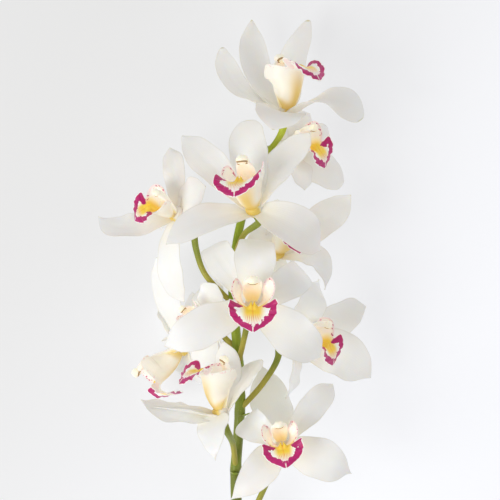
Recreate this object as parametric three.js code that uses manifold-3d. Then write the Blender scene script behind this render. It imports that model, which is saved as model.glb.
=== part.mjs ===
// A cut flower stem of a standard cymbidium orchid with eleven open blooms, lying on a flat surface.
//
// Each bloom has five tepals (a dorsal sepal, two lateral sepals and two petals) round a small cup, a
// three-lobed lip, an arched column, and a pedicel that joins it to the flower stalk.
//
// Frame: millimetres, +Z up from the surface, +Y along the stem from its cut end to its topmost bloom.
// The places below are measured from the cut end; the exported group is moved so that its origin lies on
// the surface, under the middle of the stem's footprint.
import * as THREE from "three";
import { mergeVertices } from "three/addons/utils/BufferGeometryUtils.js";
import Module from "manifold-3d";

const wasm = await Module();
wasm.setup();

// ---------------------------------------------------------------- driving dimensions

const FOOTPRINT_MIDDLE = [-1, 229]; // the footprint's middle, measured from the cut end

const SEPAL = { width: 28, widest: 0.5, tipPower: 0.7, root: -1.2 };
const PETAL = { width: 26, widest: 0.58, tipPower: 0.62, root: 1.0 };
const CLAW = 0.36; // a tepal's width at its root, as a share of its full width
const TIP_WIDTH = 1.2; // width that is left at a tepal's very tip
const BLADE = { middle: 1.5, edge: 0.8 }; // thickness of a tepal along its midrib and at its margin
const ROOT_RADIUS = 3.2; // how far from the bloom's axis a tepal's midrib starts

// Where a midrib bends: the share of its chord, and how much of its arch and sway it takes there.
const MIDRIB_BENDS = [{ share: 0.33, arch: 1.0, sway: 0.7 }, { share: 0.72, arch: 1.5, sway: 1.3 }];
const STEP = 0.001; // share of a midrib over which its direction is taken
const TEPAL_ROWS = [0, 0.18, 0.38, 0.57, 0.76, 0.91, 1];
const TEPAL_COLUMNS = [-1, -0.52, 0, 0.52, 1];

// The cup that the tepals grow from: [forward of the bloom's centre, radius].
const CUP = [[-4.2, 3.2], [-1.8, 5.8], [3.7, 6.2]];
const CUP_SIDES = 6;

// The lip, station by station from its root: place forward and up along its middle, the half width as if
// rolled flat, and the angle through which that half is rolled up (side lobes) or back (middle lobe).
const LIP = [
  { forward: 4.0, up: -3.0, half: 6.4, roll: 66 },
  { forward: 9.5, up: -4.8, half: 15.5, roll: 112 },
  { forward: 16.0, up: -5.6, half: 20.0, roll: 130 },
  { forward: 22.5, up: -5.2, half: 26.0, roll: 134 },
  { forward: 28.0, up: -4.4, half: 28.0, roll: 119 },
  { forward: 32.0, up: -5.4, half: 18.5, roll: 50 },
  { forward: 34.8, up: -8.8, half: 16.0, roll: 14 },
  { forward: 35.8, up: -14.2, half: 11.5, roll: -10 },
  { forward: 34.0, up: -20.4, half: 3.5, roll: -24 },
];
const LIP_COLUMNS = [-1, -0.68, -0.34, 0, 0.34, 0.68, 1];
const LIP_THICKNESS = 1.1;
// The middle lobe rolls back by a bloom's curl, from the hinge on and over so many stations.
const LIP_CURL = { hinge: 4.4, over: 2.2 };
// The ridge down the middle of the lip's throat: its height, and the stations where it starts and ends.
const CALLUS = { height: 2.6, starts: [0, 2], ends: [4, 6] };

// The column, from its foot to the anther cap: place forward and up, half width and half depth.
const COLUMN = [
  { forward: 4.0, up: 2.4, wide: 4.0, deep: 2.2 },
  { forward: 11.0, up: 5.8, wide: 5.7, deep: 2.4 },
  { forward: 19.0, up: 10.4, wide: 6.5, deep: 2.5 },
  { forward: 26.0, up: 12.8, wide: 6.2, deep: 2.7 },
  { forward: 30.6, up: 13.0, wide: 4.9, deep: 2.6 },
  { forward: 33.2, up: 12.4, wide: 3.0, deep: 1.8 },
];
const COLUMN_SIDES = 6;

const CLEARANCE = 0.3; // gap that is left where two nodes meet

// The stalk's axis: [sideways, from the cut end, height, radius].
const STALK = [
  [2, 0, 4.2, 4.4], [2, 26, 4.3, 4.3], [2, 52, 8, 4.2], [1, 82, 20, 4.0], [0, 110, 32, 3.9],
  [-1, 148, 44, 3.8], [1, 176, 49, 3.6], [2, 197, 52, 3.5], [1, 221, 54, 3.4], [-1, 245, 54, 3.3],
  [-3, 272, 54, 3.2], [-2, 291, 53, 3.1], [0, 306, 53, 3.0], [3, 320, 53, 2.9], [9, 340, 52, 2.7],
  [15, 358, 53, 2.5], [21, 370, 55, 2.3],
];
const STALK_RINGS = 24;
const STALK_SIDES = 8;
// A pedicel's radius at its root, beyond it and at the ovary, and the shares of its length between them.
const PEDICEL = { root: 2.0, middle: 2.1, ovary: 2.7, leaves: [0, 0.3], swells: [0.4, 0.9] };
const OVARY_LENGTH = 7; // the straight last stretch of a pedicel, behind the cup
const PEDICEL_RINGS = 6;
const PEDICEL_SIDES = 6;
// The scale under each pedicel's root: where it starts below the root, and how far it stands out and up.
const BRACT = { out: 7.9, up: 2.8, width: 7, tip: 1, below: 5.5, thickness: 0.8, cup: 0.35 };
const BRACT_ROWS = [0, 0.6, 1];
const BRACT_TURN = 0.12; // it stands out the way its pedicel leads at this share of the pedicel's length
const COLOURS = { tepals: 0xf4f2ec, lip: 0xf2e3e4, column: 0xf3e8c4, pedicel: 0xa9b04a, stalk: 0x76963f };

// ---------------------------------------------------------------- the blooms

// A tepal is given by where its tip lies, and by how its midrib and blade bend on the way there:
// arch   how far the midrib bows towards the bloom's face, so that the tip turns back
// sway   how far it bows sideways
// roll   degrees that the whole blade is turned about its midrib
// twist  degrees that it turns further from root to tip
// cup    how far the margins stand forward of the midrib at the root, as a share of the half width
// wide   width as a share of the usual width
// taper  above 1 for a longer point, below 1 for a blunter tip
// reflex how far the tip's half turns back from a blade that reaches further forward
// early  how much nearer its root the blade is at its widest, as a share of its length
const USUAL = { arch: 9, sway: 0, roll: 0, twist: 0, cup: 0.3, wide: 1, taper: 1, reflex: 0, early: 0 };
const tepal = (tip, shape = {}) => ({ ...USUAL, ...shape, tip });

// Each bloom: the centre of its cup, the way it faces, the way its column's back points, the size of its
// lip and column as a share of the usual, the degrees that its lip curls back, its tepals (named after
// where they stand as seen by someone who faces the bloom), and its pedicel, which leaves the stalk at
// joins (measured along Y) and passes through the points in by.
const BLOOMS = [
  {
    centre: [33, 391, 66], faces: [0.2, 0.965, 0.17], crown: [-0.8, 0.05, -0.6], size: 1.05,
    joins: 362, by: [[26, 372, 59]], curl: 24,
    dorsal: tepal([10, 458, 34], { arch: -14, sway: -4, taper: 0.85 }),
    rightPetal: tepal([49, 458, 32], { arch: -19, sway: 6, twist: 48, cup: 0.1, wide: 0.88, taper: 0.6 }),
    leftPetal: tepal([-10, 437, 60], { arch: -12, sway: -4, twist: -50, wide: 0.76, taper: 0.7 }),
    rightSepal: tepal([83, 386, 84], { arch: 15, sway: -4, twist: 45, wide: 1.1, taper: 0.5, early: -0.1 }),
    leftSepal: tepal([24, 379, 104], { arch: 8, wide: 1.2, taper: 0.8 }),
  },
  {
    centre: [11.5, 326, 84], faces: [-0.29, 0.67, 0.68], crown: [-0.1, 1, 0], size: 1.02,
    joins: 296, by: [[5, 310, 64]],
    dorsal: tepal([7, 387, 64], { arch: 1, taper: 0.38, reflex: 3, wide: 0.95 }),
    rightPetal: tepal([49, 378, 76], { arch: 4, taper: 0.9 }),
    leftPetal: tepal([-37, 376, 78], { arch: 1, wide: 0.88 }),
    rightSepal: tepal([56, 299, 80], { arch: 12, sway: -3, wide: 1.18, taper: 1.1 }),
    leftSepal: tepal([-47, 303, 96], { arch: 8, wide: 1.05 }),
  },
  {
    centre: [31, 369, 46], faces: [0.82, 0.08, 0.56], crown: [-0.45, 0.87, 0.1], size: 0.85,
    joins: 344, by: [[19, 358, 40]],
    dorsal: tepal([50, 393, 40], { arch: 1 }),
    rightPetal: tepal([66, 376, 0], { arch: 6 }),
    leftPetal: tepal([40, 388, 44], { arch: 0 }),
    rightSepal: tepal([74, 347, 22], { arch: 4, sway: -2, taper: 0.7 }),
    leftSepal: tepal([46, 340, 56], { arch: 4 }),
  },
  {
    centre: [-40, 323.5, 60], faces: [-0.75, 0.25, 0.6], crown: [0.6, 0.72, 0.35], size: 0.76,
    joins: 262, by: [[-22, 283, 54], [-28, 300, 54]],
    dorsal: tepal([-21, 342, 80], { arch: 3 }),
    rightPetal: tepal([-36, 264, 54], { arch: 8, sway: -3, roll: -30, wide: 0.7 }),
    leftPetal: tepal([-46, 369, 50], { arch: 1, sway: -4, roll: 8, twist: 45, wide: 0.62 }),
    rightSepal: tepal([-50, 322, 0], { arch: 2, wide: 0.8 }),
    leftSepal: tepal([-95, 322, 46], { arch: 6, sway: 13, wide: 0.85, taper: 1.3 }),
  },
  {
    centre: [26.5, 297, 46], faces: [0.42, 0.5, 0.76], crown: [0.05, 1, 0], size: 0.9,
    joins: 278, by: [[12, 288, 44]],
    dorsal: tepal([28, 334, 30], { arch: 3, wide: 0.85 }),
    rightPetal: tepal([78, 337, 46], { arch: -4, sway: -2, wide: 0.9, taper: 1.2 }),
    leftPetal: tepal([10, 312, 44], { arch: 4 }),
    rightSepal: tepal([60, 272, 50], { arch: 12, sway: 12, roll: -20, wide: 0.8, taper: 1.8 }),
    leftSepal: tepal([12, 262, 12], { arch: 8 }),
  },
  {
    centre: [10, 263, 88], faces: [0.02, 0.08, 1], crown: [0, 1, 0], size: 1,
    joins: 222, by: [[5, 240, 70]],
    dorsal: tepal([13, 306, 66], { arch: 20, taper: 0.5, reflex: 6, wide: 0.98 }),
    rightPetal: tepal([44, 286, 68], { arch: 14, sway: -4, taper: 0.45, reflex: 4, wide: 0.92 }),
    leftPetal: tepal([-15, 303, 56], { arch: 14, sway: 4, wide: 0.84, taper: 0.4, reflex: 4 }),
    rightSepal: tepal([56, 227, 77], { arch: 13, wide: 1.05 }),
    leftSepal: tepal([-48, 235, 94], { arch: 8, wide: 0.95 }),
  },
  {
    centre: [-18, 250, 46], faces: [-0.6, 0.1, 0.79], crown: [-0.75, 0.66, 0], size: 0.68,
    joins: 232, by: [[-9, 240, 47]],
    dorsal: tepal([-16, 278, 26], { arch: 4 }),
    rightPetal: tepal([-14, 276, 64], { arch: 2 }),
    leftPetal: tepal([-36, 262, 6], { arch: 2, wide: 0.8 }),
    rightSepal: tepal([-18, 219, 42], { arch: 2, wide: 0.9 }),
    leftSepal: tepal([-22, 208, 44], { arch: 1, wide: 0.85 }),
  },
  {
    centre: [38, 239, 48], faces: [0.85, -0.05, 0.52], crown: [-0.35, 0.93, 0.1], size: 0.85,
    joins: 190, by: [[18, 209, 60], [28, 226, 52]],
    dorsal: tepal([56, 279, 44], { arch: 6, sway: 6, roll: -25, wide: 0.95, taper: 1.8 }),
    rightPetal: tepal([89, 260, 26], { arch: 1 }),
    leftPetal: tepal([28, 253, 68], { arch: 2 }),
    rightSepal: tepal([92, 211, 34], { arch: 4, sway: 5, wide: 1.15 }),
    leftSepal: tepal([33, 198, 50], { arch: 8, sway: -4, roll: -5, wide: 0.6, taper: 1.3 }),
  },
  {
    centre: [-10.5, 189, 80], faces: [-0.3, 0.93, 0.2], crown: [0.8, 0.55, -0.2], size: 1,
    joins: 150, by: [[-3, 168, 62]], curl: 14,
    dorsal: tepal([17, 225, 74], { arch: 2, wide: 1.15, taper: 0.6 }),
    rightPetal: tepal([-14, 159, 98], { arch: 6, wide: 0.9, taper: 2, early: 0.33 }),
    leftPetal: tepal([-9.5, 237, 61], { arch: -8, wide: 0.82 }),
    rightSepal: tepal([-64, 199, 88], { arch: -5, roll: -25, taper: 1.2, wide: 0.8 }),
    leftSepal: tepal([-61, 194, 68], { arch: 4, sway: 10, taper: 1.2 }),
  },
  {
    centre: [-38, 232, 28], faces: [-0.62, -0.76, 0.18], crown: [-0.78, 0.62, 0], size: 1,
    joins: 200, by: [[-5, 214, 38], [-20, 236, 22]], curl: 35,
    dorsal: tepal([-56, 294, 32], { arch: -2, sway: -2, twist: 45 }),
    rightPetal: tepal([-46, 241, 54], { arch: -1, twist: 60, wide: 0.7 }),
    leftPetal: tepal([-52, 262, 0], { arch: 2, wide: 0.8 }),
    rightSepal: tepal([-26, 206, 18], { arch: 2 }),
    leftSepal: tepal([-40, 212, 0], { arch: 2 }),
  },
  {
    centre: [30, 169, 78], faces: [0, 0.1, 1], crown: [-0.17, 1, 0], size: 0.85,
    joins: 92, by: [[8, 112, 36], [19, 138, 54]],
    dorsal: tepal([17, 219, 38], { arch: -9 }),
    rightPetal: tepal([65, 208, 60], { arch: 8, wide: 0.7, taper: 1.2 }),
    leftPetal: tepal([7, 186, 60], { arch: 11, sway: 4, wide: 0.85, taper: 0.5, reflex: 3 }),
    rightSepal: tepal([77, 149, 80], { arch: 12, taper: 1.6 }),
    leftSepal: tepal([-5, 131, 84], { arch: 12, sway: 2, wide: 0.85, taper: 2.2, early: 0.15 }),
  },
];

// ---------------------------------------------------------------- solids

/** The vector with these three numbers. */
const vec = ([x, y, z]) => new THREE.Vector3(x, y, z);

/** a + b * t, as a new vector. */
const along = (a, b, t) => a.clone().addScaledVector(b, t);

/** v without its part along the unit vector axis, at length 1. */
const squareTo = (v, axis) => along(v, axis, -v.dot(axis)).normalize();

/**
 * A closed solid skinned over loops of points. The first half of a loop is one face of a blade and the
 * second half is the other face on the way back, and both faces are split into triangles alike.
 */
function skin(loops) {
  const around = loops[0].length;
  const half = around / 2;
  const index = [];
  const quad = (a, b, c, d, back) => index.push(...(back ? [a, b, d, b, c, d] : [a, b, c, a, c, d]));
  for (let i = 0; i + 1 < loops.length; i++) {
    for (let j = 0; j < around; j++) {
      const k = (j + 1) % around;
      quad(i * around + j, i * around + k, (i + 1) * around + k, (i + 1) * around + j, j >= half);
    }
  }
  for (let j = 0; j + 1 < half; j++) {
    const end = (loops.length - 1) * around;
    quad(around - 1 - j, around - 2 - j, j + 1, j);
    quad(end + j, end + j + 1, end + around - 2 - j, end + around - 1 - j);
  }
  const positions = new Float32Array(loops.flat().flatMap((p) => p.toArray()));
  const geometry = new THREE.BufferGeometry();
  geometry.setAttribute("position", new THREE.BufferAttribute(positions, 3));
  const turned = signedVolume(positions, index) < 0;
  geometry.setIndex(turned ? index.reverse() : index);
  return solidOf(geometry);
}

/** The volume that the triangles enclose, below zero when they face inwards. */
function signedVolume(positions, index) {
  const corner = (i) => new THREE.Vector3().fromArray(positions, 3 * index[i]);
  let sum = 0;
  for (let i = 0; i < index.length; i += 3) sum += corner(i).dot(corner(i + 1).cross(corner(i + 2)));
  return sum / 6;
}

/** A geometry as a solid that can be joined and cut. */
function solidOf(geometry) {
  const merged = mergeVertices(geometry, 1e-4);
  return new wasm.Manifold(
    new wasm.Mesh({
      numProp: 3,
      vertProperties: merged.attributes.position.array,
      triVerts: new Uint32Array(merged.index.array),
    }),
  );
}

/** A solid without the closed pockets inside it. */
function outerSkin(solid) {
  return solid.decompose().reduce((outer, piece) => (piece.volume() > outer.volume() ? piece : outer));
}

/** A named mesh of a solid. */
function meshOf(name, solid, colour, roughness) {
  const { vertProperties, triVerts } = solid.getMesh();
  const geometry = new THREE.BufferGeometry()
    .setAttribute("position", new THREE.BufferAttribute(vertProperties, 3))
    .setIndex(new THREE.BufferAttribute(triVerts, 1));
  geometry.computeVertexNormals();
  const material = new THREE.MeshStandardMaterial({ color: colour, roughness, metalness: 0 });
  const mesh = new THREE.Mesh(geometry, material);
  mesh.name = name;
  return mesh;
}

/** A ring of points round a centre, with a flat side on the second axis. */
function ring(centre, first, second, wide, deep, sides) {
  return Array.from({ length: sides }, (_, i) => {
    const angle = (2 * Math.PI * (i + 0.5)) / sides;
    return along(along(centre, first, wide * Math.cos(angle)), second, deep * Math.sin(angle));
  });
}

/** A round solid along a curve, with its radius given at each share of the curve's length. */
function stemAlong(curve, radiusAt, rings, sides) {
  const down = new THREE.Vector3(0, 0, -1);
  const loops = [];
  for (let i = 0; i <= rings; i++) {
    const tangent = curve.getTangentAt(i / rings);
    const under = squareTo(down, tangent);
    const side = new THREE.Vector3().crossVectors(tangent, under);
    const radius = radiusAt(i / rings);
    loops.push(ring(curve.getPointAt(i / rings), side, under, radius, radius, sides));
  }
  return skin(loops);
}

/** Smooth step from 0 at a to 1 at b. */
const ease = (t, a, b) => THREE.MathUtils.smoothstep(t, a, b);

// ---------------------------------------------------------------- one bloom

/** A bloom's own axes: right and up across its face, and forward out of it. */
function axesOf(bloom) {
  const forward = vec(bloom.faces).normalize();
  const up = squareTo(vec(bloom.crown), forward);
  return { forward, up, right: new THREE.Vector3().crossVectors(up, forward), centre: vec(bloom.centre) };
}

/** A tepal's half width at a share of its length. */
function halfWidth(kind, shape, s) {
  const widest = kind.widest - shape.early;
  const opening = CLAW + (1 - CLAW) * Math.sin((Math.PI / 2) * Math.min(1, s / widest));
  const beyond = Math.max(0, (s - widest) / (1 - widest));
  const closing = Math.pow(1 - Math.pow(beyond, 2.2), kind.tipPower * shape.taper);
  return Math.max(TIP_WIDTH, kind.width * shape.wide * opening * closing) / 2;
}

/** A tepal's midrib, from its root in the cup to its tip: the place at each share of it. */
function midrib(axes, kind, shape) {
  const reach = along(vec(shape.tip), axes.forward, shape.reflex);
  const outward = squareTo(reach.clone().sub(axes.centre), axes.forward);
  const root = along(along(axes.centre, outward, ROOT_RADIUS), axes.forward, kind.root);
  const chord = reach.clone().sub(root);
  const bow = squareTo(axes.forward, chord.clone().normalize());
  const side = new THREE.Vector3().crossVectors(bow, chord).normalize();
  const bends = MIDRIB_BENDS.map(({ share, arch, sway }) =>
    along(along(along(root, chord, share), bow, arch * shape.arch), side, sway * shape.sway),
  );
  const curve = new THREE.CubicBezierCurve3(root, ...bends, reach);
  const late = (s) => Math.max(0, 2 * s - 1);
  return (s) => along(curve.getPoint(s), axes.forward, -shape.reflex * late(s) ** 2);
}

/** The unit direction of a line at a share of it. */
function directionOf(line, s) {
  return line(Math.min(1, s + STEP)).sub(line(Math.max(0, s - STEP))).normalize();
}

/** A tepal as a blade: thicker along its midrib, and flattened where it would reach through the surface. */
function tepalSolid(axes, kind, shape) {
  const line = midrib(axes, kind, shape);
  let normal = axes.forward.clone();
  const loops = TEPAL_ROWS.map((s) => {
    const tangent = directionOf(line, s);
    normal = squareTo(normal, tangent);
    const turn = THREE.MathUtils.degToRad(shape.roll + shape.twist * s);
    const face = normal.clone().applyAxisAngle(tangent, turn);
    const side = new THREE.Vector3().crossVectors(face, tangent);
    const half = halfWidth(kind, shape, s);
    const cup = shape.cup * (1 - s);
    const front = [];
    const back = [];
    for (const v of TEPAL_COLUMNS) {
      const middle = along(along(line(s), side, half * v), face, half * cup * v * v);
      const lean = along(face, side, -2 * cup * v).normalize();
      const thickness = THREE.MathUtils.lerp(BLADE.middle, BLADE.edge, v * v);
      const pair = [along(middle, lean, thickness / 2), along(middle, lean, -thickness / 2)];
      const lift = Math.max(0, -Math.min(pair[0].z, pair[1].z));
      pair.forEach((p) => (p.z += lift));
      front.push(pair[0]);
      back.unshift(pair[1]);
    }
    return [...front, ...back];
  });
  return skin(loops);
}

/** The cup and the five tepals that grow from it, in one solid. */
function tepalsSolid(axes, bloom) {
  const cup = skin(
    CUP.map(([forward, radius]) =>
      ring(along(axes.centre, axes.forward, forward), axes.right, axes.up, radius, radius, CUP_SIDES),
    ),
  );
  const kinds = { dorsal: SEPAL, rightSepal: SEPAL, leftSepal: SEPAL, rightPetal: PETAL, leftPetal: PETAL };
  const blades = Object.entries(kinds).map(([place, kind]) => tepalSolid(axes, kind, bloom[place]));
  return outerSkin(wasm.Manifold.union([cup, ...blades]));
}

/** A station of the lip or column at a bloom's size, with its foot still just in front of the cup. */
function sized(station, size) {
  const { forward, up, roll } = station;
  const grown = (width) => width * size;
  return {
    forward: LIP[0].forward + grown(forward - LIP[0].forward),
    up: grown(up),
    half: grown(station.half),
    wide: grown(station.wide),
    deep: grown(station.deep),
    roll,
  };
}

/** The lip's stations, with the middle lobe rolled back about its hinge. */
function curledLip(curl) {
  const before = Math.floor(LIP_CURL.hinge);
  const part = LIP_CURL.hinge - before;
  const between = (key) => THREE.MathUtils.lerp(LIP[before][key], LIP[before + 1][key], part);
  const hinge = { forward: between("forward"), up: between("up") };
  return LIP.map((station, i) => {
    const done = THREE.MathUtils.clamp((i - LIP_CURL.hinge) / LIP_CURL.over, 0, 1);
    const turn = THREE.MathUtils.degToRad(curl) * done;
    const forward = station.forward - hinge.forward;
    const up = station.up - hinge.up;
    return {
      ...station,
      forward: hinge.forward + forward * Math.cos(turn) + up * Math.sin(turn),
      up: hinge.up - forward * Math.sin(turn) + up * Math.cos(turn),
    };
  });
}

/** The lip: a trough of two side lobes that opens into a middle lobe, which turns down. */
function lipSolid(axes, { size, curl = 0 }) {
  const lip = curledLip(curl).map((station) => sized(station, size));
  const place = (station) => along(along(axes.centre, axes.forward, station.forward), axes.up, station.up);
  const loops = lip.map((station, i) => {
    const before = place(lip[Math.max(0, i - 1)]);
    const after = place(lip[Math.min(lip.length - 1, i + 1)]);
    const tangent = i === 0 ? axes.forward : after.sub(before).normalize();
    const inner = new THREE.Vector3().crossVectors(tangent, axes.right);
    const rolled = THREE.MathUtils.degToRad(station.roll);
    const radius = station.half / rolled;
    const callus = CALLUS.height * ease(i, ...CALLUS.starts) * (1 - ease(i, ...CALLUS.ends));
    const front = [];
    const back = [];
    for (const v of LIP_COLUMNS) {
      const angle = rolled * v;
      const sideways = along(place(station), axes.right, radius * Math.sin(angle));
      const middle = along(sideways, inner, radius * (1 - Math.cos(angle)));
      const face = along(inner.clone().multiplyScalar(Math.cos(angle)), axes.right, -Math.sin(angle));
      front.push(along(middle, face, LIP_THICKNESS / 2 + (v === 0 ? callus : 0)));
      back.unshift(along(middle, face, -LIP_THICKNESS / 2));
    }
    return [...front, ...back];
  });
  return skin(loops);
}

/** The column, which arches forward over the lip and ends in the anther cap. */
function columnSolid(axes, { size }) {
  const column = COLUMN.map((station) => sized(station, size));
  const place = (station) => along(along(axes.centre, axes.forward, station.forward), axes.up, station.up);
  const loops = column.map((station, i) => {
    const before = place(column[Math.max(0, i - 1)]);
    const after = place(column[Math.min(column.length - 1, i + 1)]);
    const tangent = i === 0 ? axes.forward : after.sub(before).normalize();
    const across = new THREE.Vector3().crossVectors(tangent, axes.right);
    return ring(place(station), axes.right, across, station.wide, station.deep, COLUMN_SIDES);
  });
  return skin(loops);
}

// ---------------------------------------------------------------- stalk, pedicels and bracts

const stalkAxis = new THREE.CatmullRomCurve3(STALK.map(vec), false, "centripetal");

/** The stalk's radius at a share of its length, grown by extra. */
function stalkRadius(share, extra = 0) {
  const y = stalkAxis.getPointAt(share).y;
  const next = Math.max(1, STALK.findIndex((station) => station[1] >= y - 1e-6));
  const [low, high] = [STALK[next - 1], STALK[next]];
  const part = (y - low[1]) / (high[1] - low[1]);
  return THREE.MathUtils.lerp(low[3], high[3], part) + extra;
}

/** The share of the stalk's length at which its axis reaches a distance from the cut end. */
function shareAt(y) {
  let [low, high] = [0, 1];
  for (let i = 0; i < 30; i++) {
    const middle = (low + high) / 2;
    if (stalkAxis.getPointAt(middle).y < y) low = middle;
    else high = middle;
  }
  return low;
}

/** The line of a bloom's pedicel, from the stalk's axis to the back of the cup. */
function pedicelAxis(axes, bloom) {
  const back = along(axes.centre, axes.forward, CUP[0][0] - CLEARANCE);
  const start = stalkAxis.getPointAt(shareAt(bloom.joins));
  const behind = along(back, axes.forward, -OVARY_LENGTH);
  return new THREE.CatmullRomCurve3([start, ...bloom.by.map(vec), behind, back], false, "centripetal");
}

/** A pedicel, swelling into the ovary under the bloom and cut clear of the stalk. */
function pedicelSolid(curve, clearOfStalk) {
  const radiusAt = (share) =>
    PEDICEL.middle +
    (PEDICEL.root - PEDICEL.middle) * (1 - ease(share, ...PEDICEL.leaves)) +
    (PEDICEL.ovary - PEDICEL.middle) * ease(share, ...PEDICEL.swells);
  return stemAlong(curve, radiusAt, PEDICEL_RINGS, PEDICEL_SIDES).subtract(clearOfStalk);
}

/** The small scale that stands under a pedicel's root. */
function bractSolid(curve, bloom) {
  const share = shareAt(bloom.joins);
  const upStem = stalkAxis.getTangentAt(share);
  const outward = squareTo(curve.getTangentAt(BRACT_TURN), upStem);
  const root = along(stalkAxis.getPointAt(share), upStem, -BRACT.below);
  const tip = along(along(root, outward, BRACT.out), upStem, BRACT.up);
  const side = new THREE.Vector3().crossVectors(outward, upStem);
  const loops = BRACT_ROWS.map((s) => {
    const half = Math.max(BRACT.tip, BRACT.width * Math.sqrt(1 - s * s)) / 2;
    const middle = root.clone().lerp(tip, s);
    const face = squareTo(outward, tip.clone().sub(root).normalize());
    const row = [-1, 0, 1].map((v) => along(along(middle, side, half * v), face, -half * BRACT.cup * v * v));
    const faceAt = (offset) => row.map((p) => along(p, face, offset));
    return [...faceAt(BRACT.thickness / 2), ...faceAt(-BRACT.thickness / 2).reverse()];
  });
  return skin(loops);
}

// ---------------------------------------------------------------- the whole stem

const stem = new THREE.Group();
stem.name = "cymbidium_orchid_stem";
stem.position.set(-FOOTPRINT_MIDDLE[0], -FOOTPRINT_MIDDLE[1], 0);

const clearRadius = (share) => stalkRadius(share, CLEARANCE);
const clearOfStalk = stemAlong(stalkAxis, clearRadius, STALK_RINGS, STALK_SIDES);
const bracts = [];

BLOOMS.forEach((bloom, i) => {
  const axes = axesOf(bloom);
  const name = `bloom_${String(i + 1).padStart(2, "0")}`;
  const line = pedicelAxis(axes, bloom);
  stem.add(
    meshOf(`${name}_tepals`, tepalsSolid(axes, bloom), COLOURS.tepals, 0.55),
    meshOf(`${name}_lip`, lipSolid(axes, bloom), COLOURS.lip, 0.5),
    meshOf(`${name}_column`, columnSolid(axes, bloom), COLOURS.column, 0.45),
    meshOf(`${name}_pedicel`, pedicelSolid(line, clearOfStalk), COLOURS.pedicel, 0.5),
  );
  bracts.push(bractSolid(line, bloom));
});

const stalk = stemAlong(stalkAxis, stalkRadius, STALK_RINGS, STALK_SIDES);
stem.add(meshOf("flower_stalk", wasm.Manifold.union([stalk, ...bracts]), COLOURS.stalk, 0.5));

export default stem;
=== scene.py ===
"""A cut stem of a standard cymbidium orchid with eleven open blooms, lying on a pale surface.

The stem is worked out in millimetres from its cut end, and stored in metres in the frame's own axes: +Z up
from the surface, +Y along the stem towards its topmost bloom.
"""

from __future__ import annotations

import logging
import math
from dataclasses import dataclass, field
from enum import Enum
from typing import Sequence

import bpy
import numpy as np
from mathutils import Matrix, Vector

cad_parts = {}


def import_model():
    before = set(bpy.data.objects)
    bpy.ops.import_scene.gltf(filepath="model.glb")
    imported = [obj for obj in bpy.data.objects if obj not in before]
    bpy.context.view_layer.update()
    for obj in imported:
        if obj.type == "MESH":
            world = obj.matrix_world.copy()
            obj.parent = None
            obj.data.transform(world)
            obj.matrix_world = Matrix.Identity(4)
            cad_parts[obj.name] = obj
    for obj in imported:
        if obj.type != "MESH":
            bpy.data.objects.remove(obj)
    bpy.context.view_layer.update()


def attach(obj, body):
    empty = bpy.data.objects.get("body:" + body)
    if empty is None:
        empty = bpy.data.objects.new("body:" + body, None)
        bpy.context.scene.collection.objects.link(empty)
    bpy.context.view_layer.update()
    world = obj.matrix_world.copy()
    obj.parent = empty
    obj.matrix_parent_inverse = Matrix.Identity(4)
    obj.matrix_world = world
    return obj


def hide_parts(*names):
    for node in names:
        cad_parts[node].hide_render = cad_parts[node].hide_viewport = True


LOG = logging.getLogger("orchid_stem")

Array = np.ndarray
Point = tuple[float, float, float]
Colour = tuple[float, float, float, float]

MM = 0.001
FOOTPRINT_MIDDLE = np.array([-1.0, 229.0, 0.0])  # the frame's origin, measured from the cut end, in mm
BODY = "root"
DOWN = np.array([0.0, 0.0, -1.0])
TINY = 1e-9  # a length that counts as none
FAR_FROM_CUT = 9.0  # what MARGIN says on a stem, away from its cut ends


# ------------------------------------------------------------------------------------------ numbers


def colour(code: str) -> Colour:
    """Turns a screen colour into a linear one, by the usual curve of screens.

    Args:
        code: Six hex digits.

    Returns:
        The colour that a shader socket takes.
    """
    shares = [int(code[i : i + 2], 16) / 255 for i in (0, 2, 4)]
    linear = [c / 12.92 if c <= 0.04045 else ((c + 0.055) / 1.055) ** 2.4 for c in shares]
    return (linear[0], linear[1], linear[2], 1.0)


def unit(v: Array) -> Array:
    """The vectors along the last axis at length 1."""
    return v / np.linalg.norm(v, axis=-1, keepdims=True)


def square_to(v: Array, axis: Array) -> Array:
    """v without its part along the unit vector axis, at length 1."""
    return unit(v - np.sum(v * axis, axis=-1, keepdims=True) * axis)


def ease(value: Array | float, low: float, high: float) -> Array:
    """A smooth step from 0 at low to 1 at high."""
    t = np.clip((np.asarray(value, float) - low) / (high - low), 0, 1)
    return t * t * (3 - 2 * t)


def bump(value: Array | float, middle: float, spread: float) -> Array:
    """A smooth hill of height 1 round middle."""
    return np.exp(-(((np.asarray(value, float) - middle) / spread) ** 2))


def round_end(value: Array, start: float, length: float) -> Array:
    """How wide a rounded end is, as a share: 1 up to start, and 0 a length beyond it."""
    return np.sqrt(1 - np.clip((value - start) / length, 0, 1) ** 3)


def closing_in(count: int) -> Array:
    """Shares from 0 to 1 that lie closer together towards 1."""
    return np.sin(np.linspace(0, np.pi / 2, count))


def round_angles(count: int) -> Array:
    """Evenly spaced angles, once round."""
    return np.linspace(0, 2 * np.pi, count, endpoint=False)


def wave_phases(seed: int) -> Array:
    """Four random phases that belong to a seed."""
    return np.random.default_rng(seed).uniform(0, 2 * np.pi, 4)


def extended(table: Array) -> Array:
    """A table with one more row at each end, straight on from it."""
    return np.vstack([2 * table[0] - table[1], table, 2 * table[-1] - table[-2]])


def between(first: Array, second: Array, low: float, high: float, t: Array) -> Array:
    """Points on the line from first, where t is low, to second, where it is high."""
    return first + (second - first) * (t - low) / (high - low)


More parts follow.
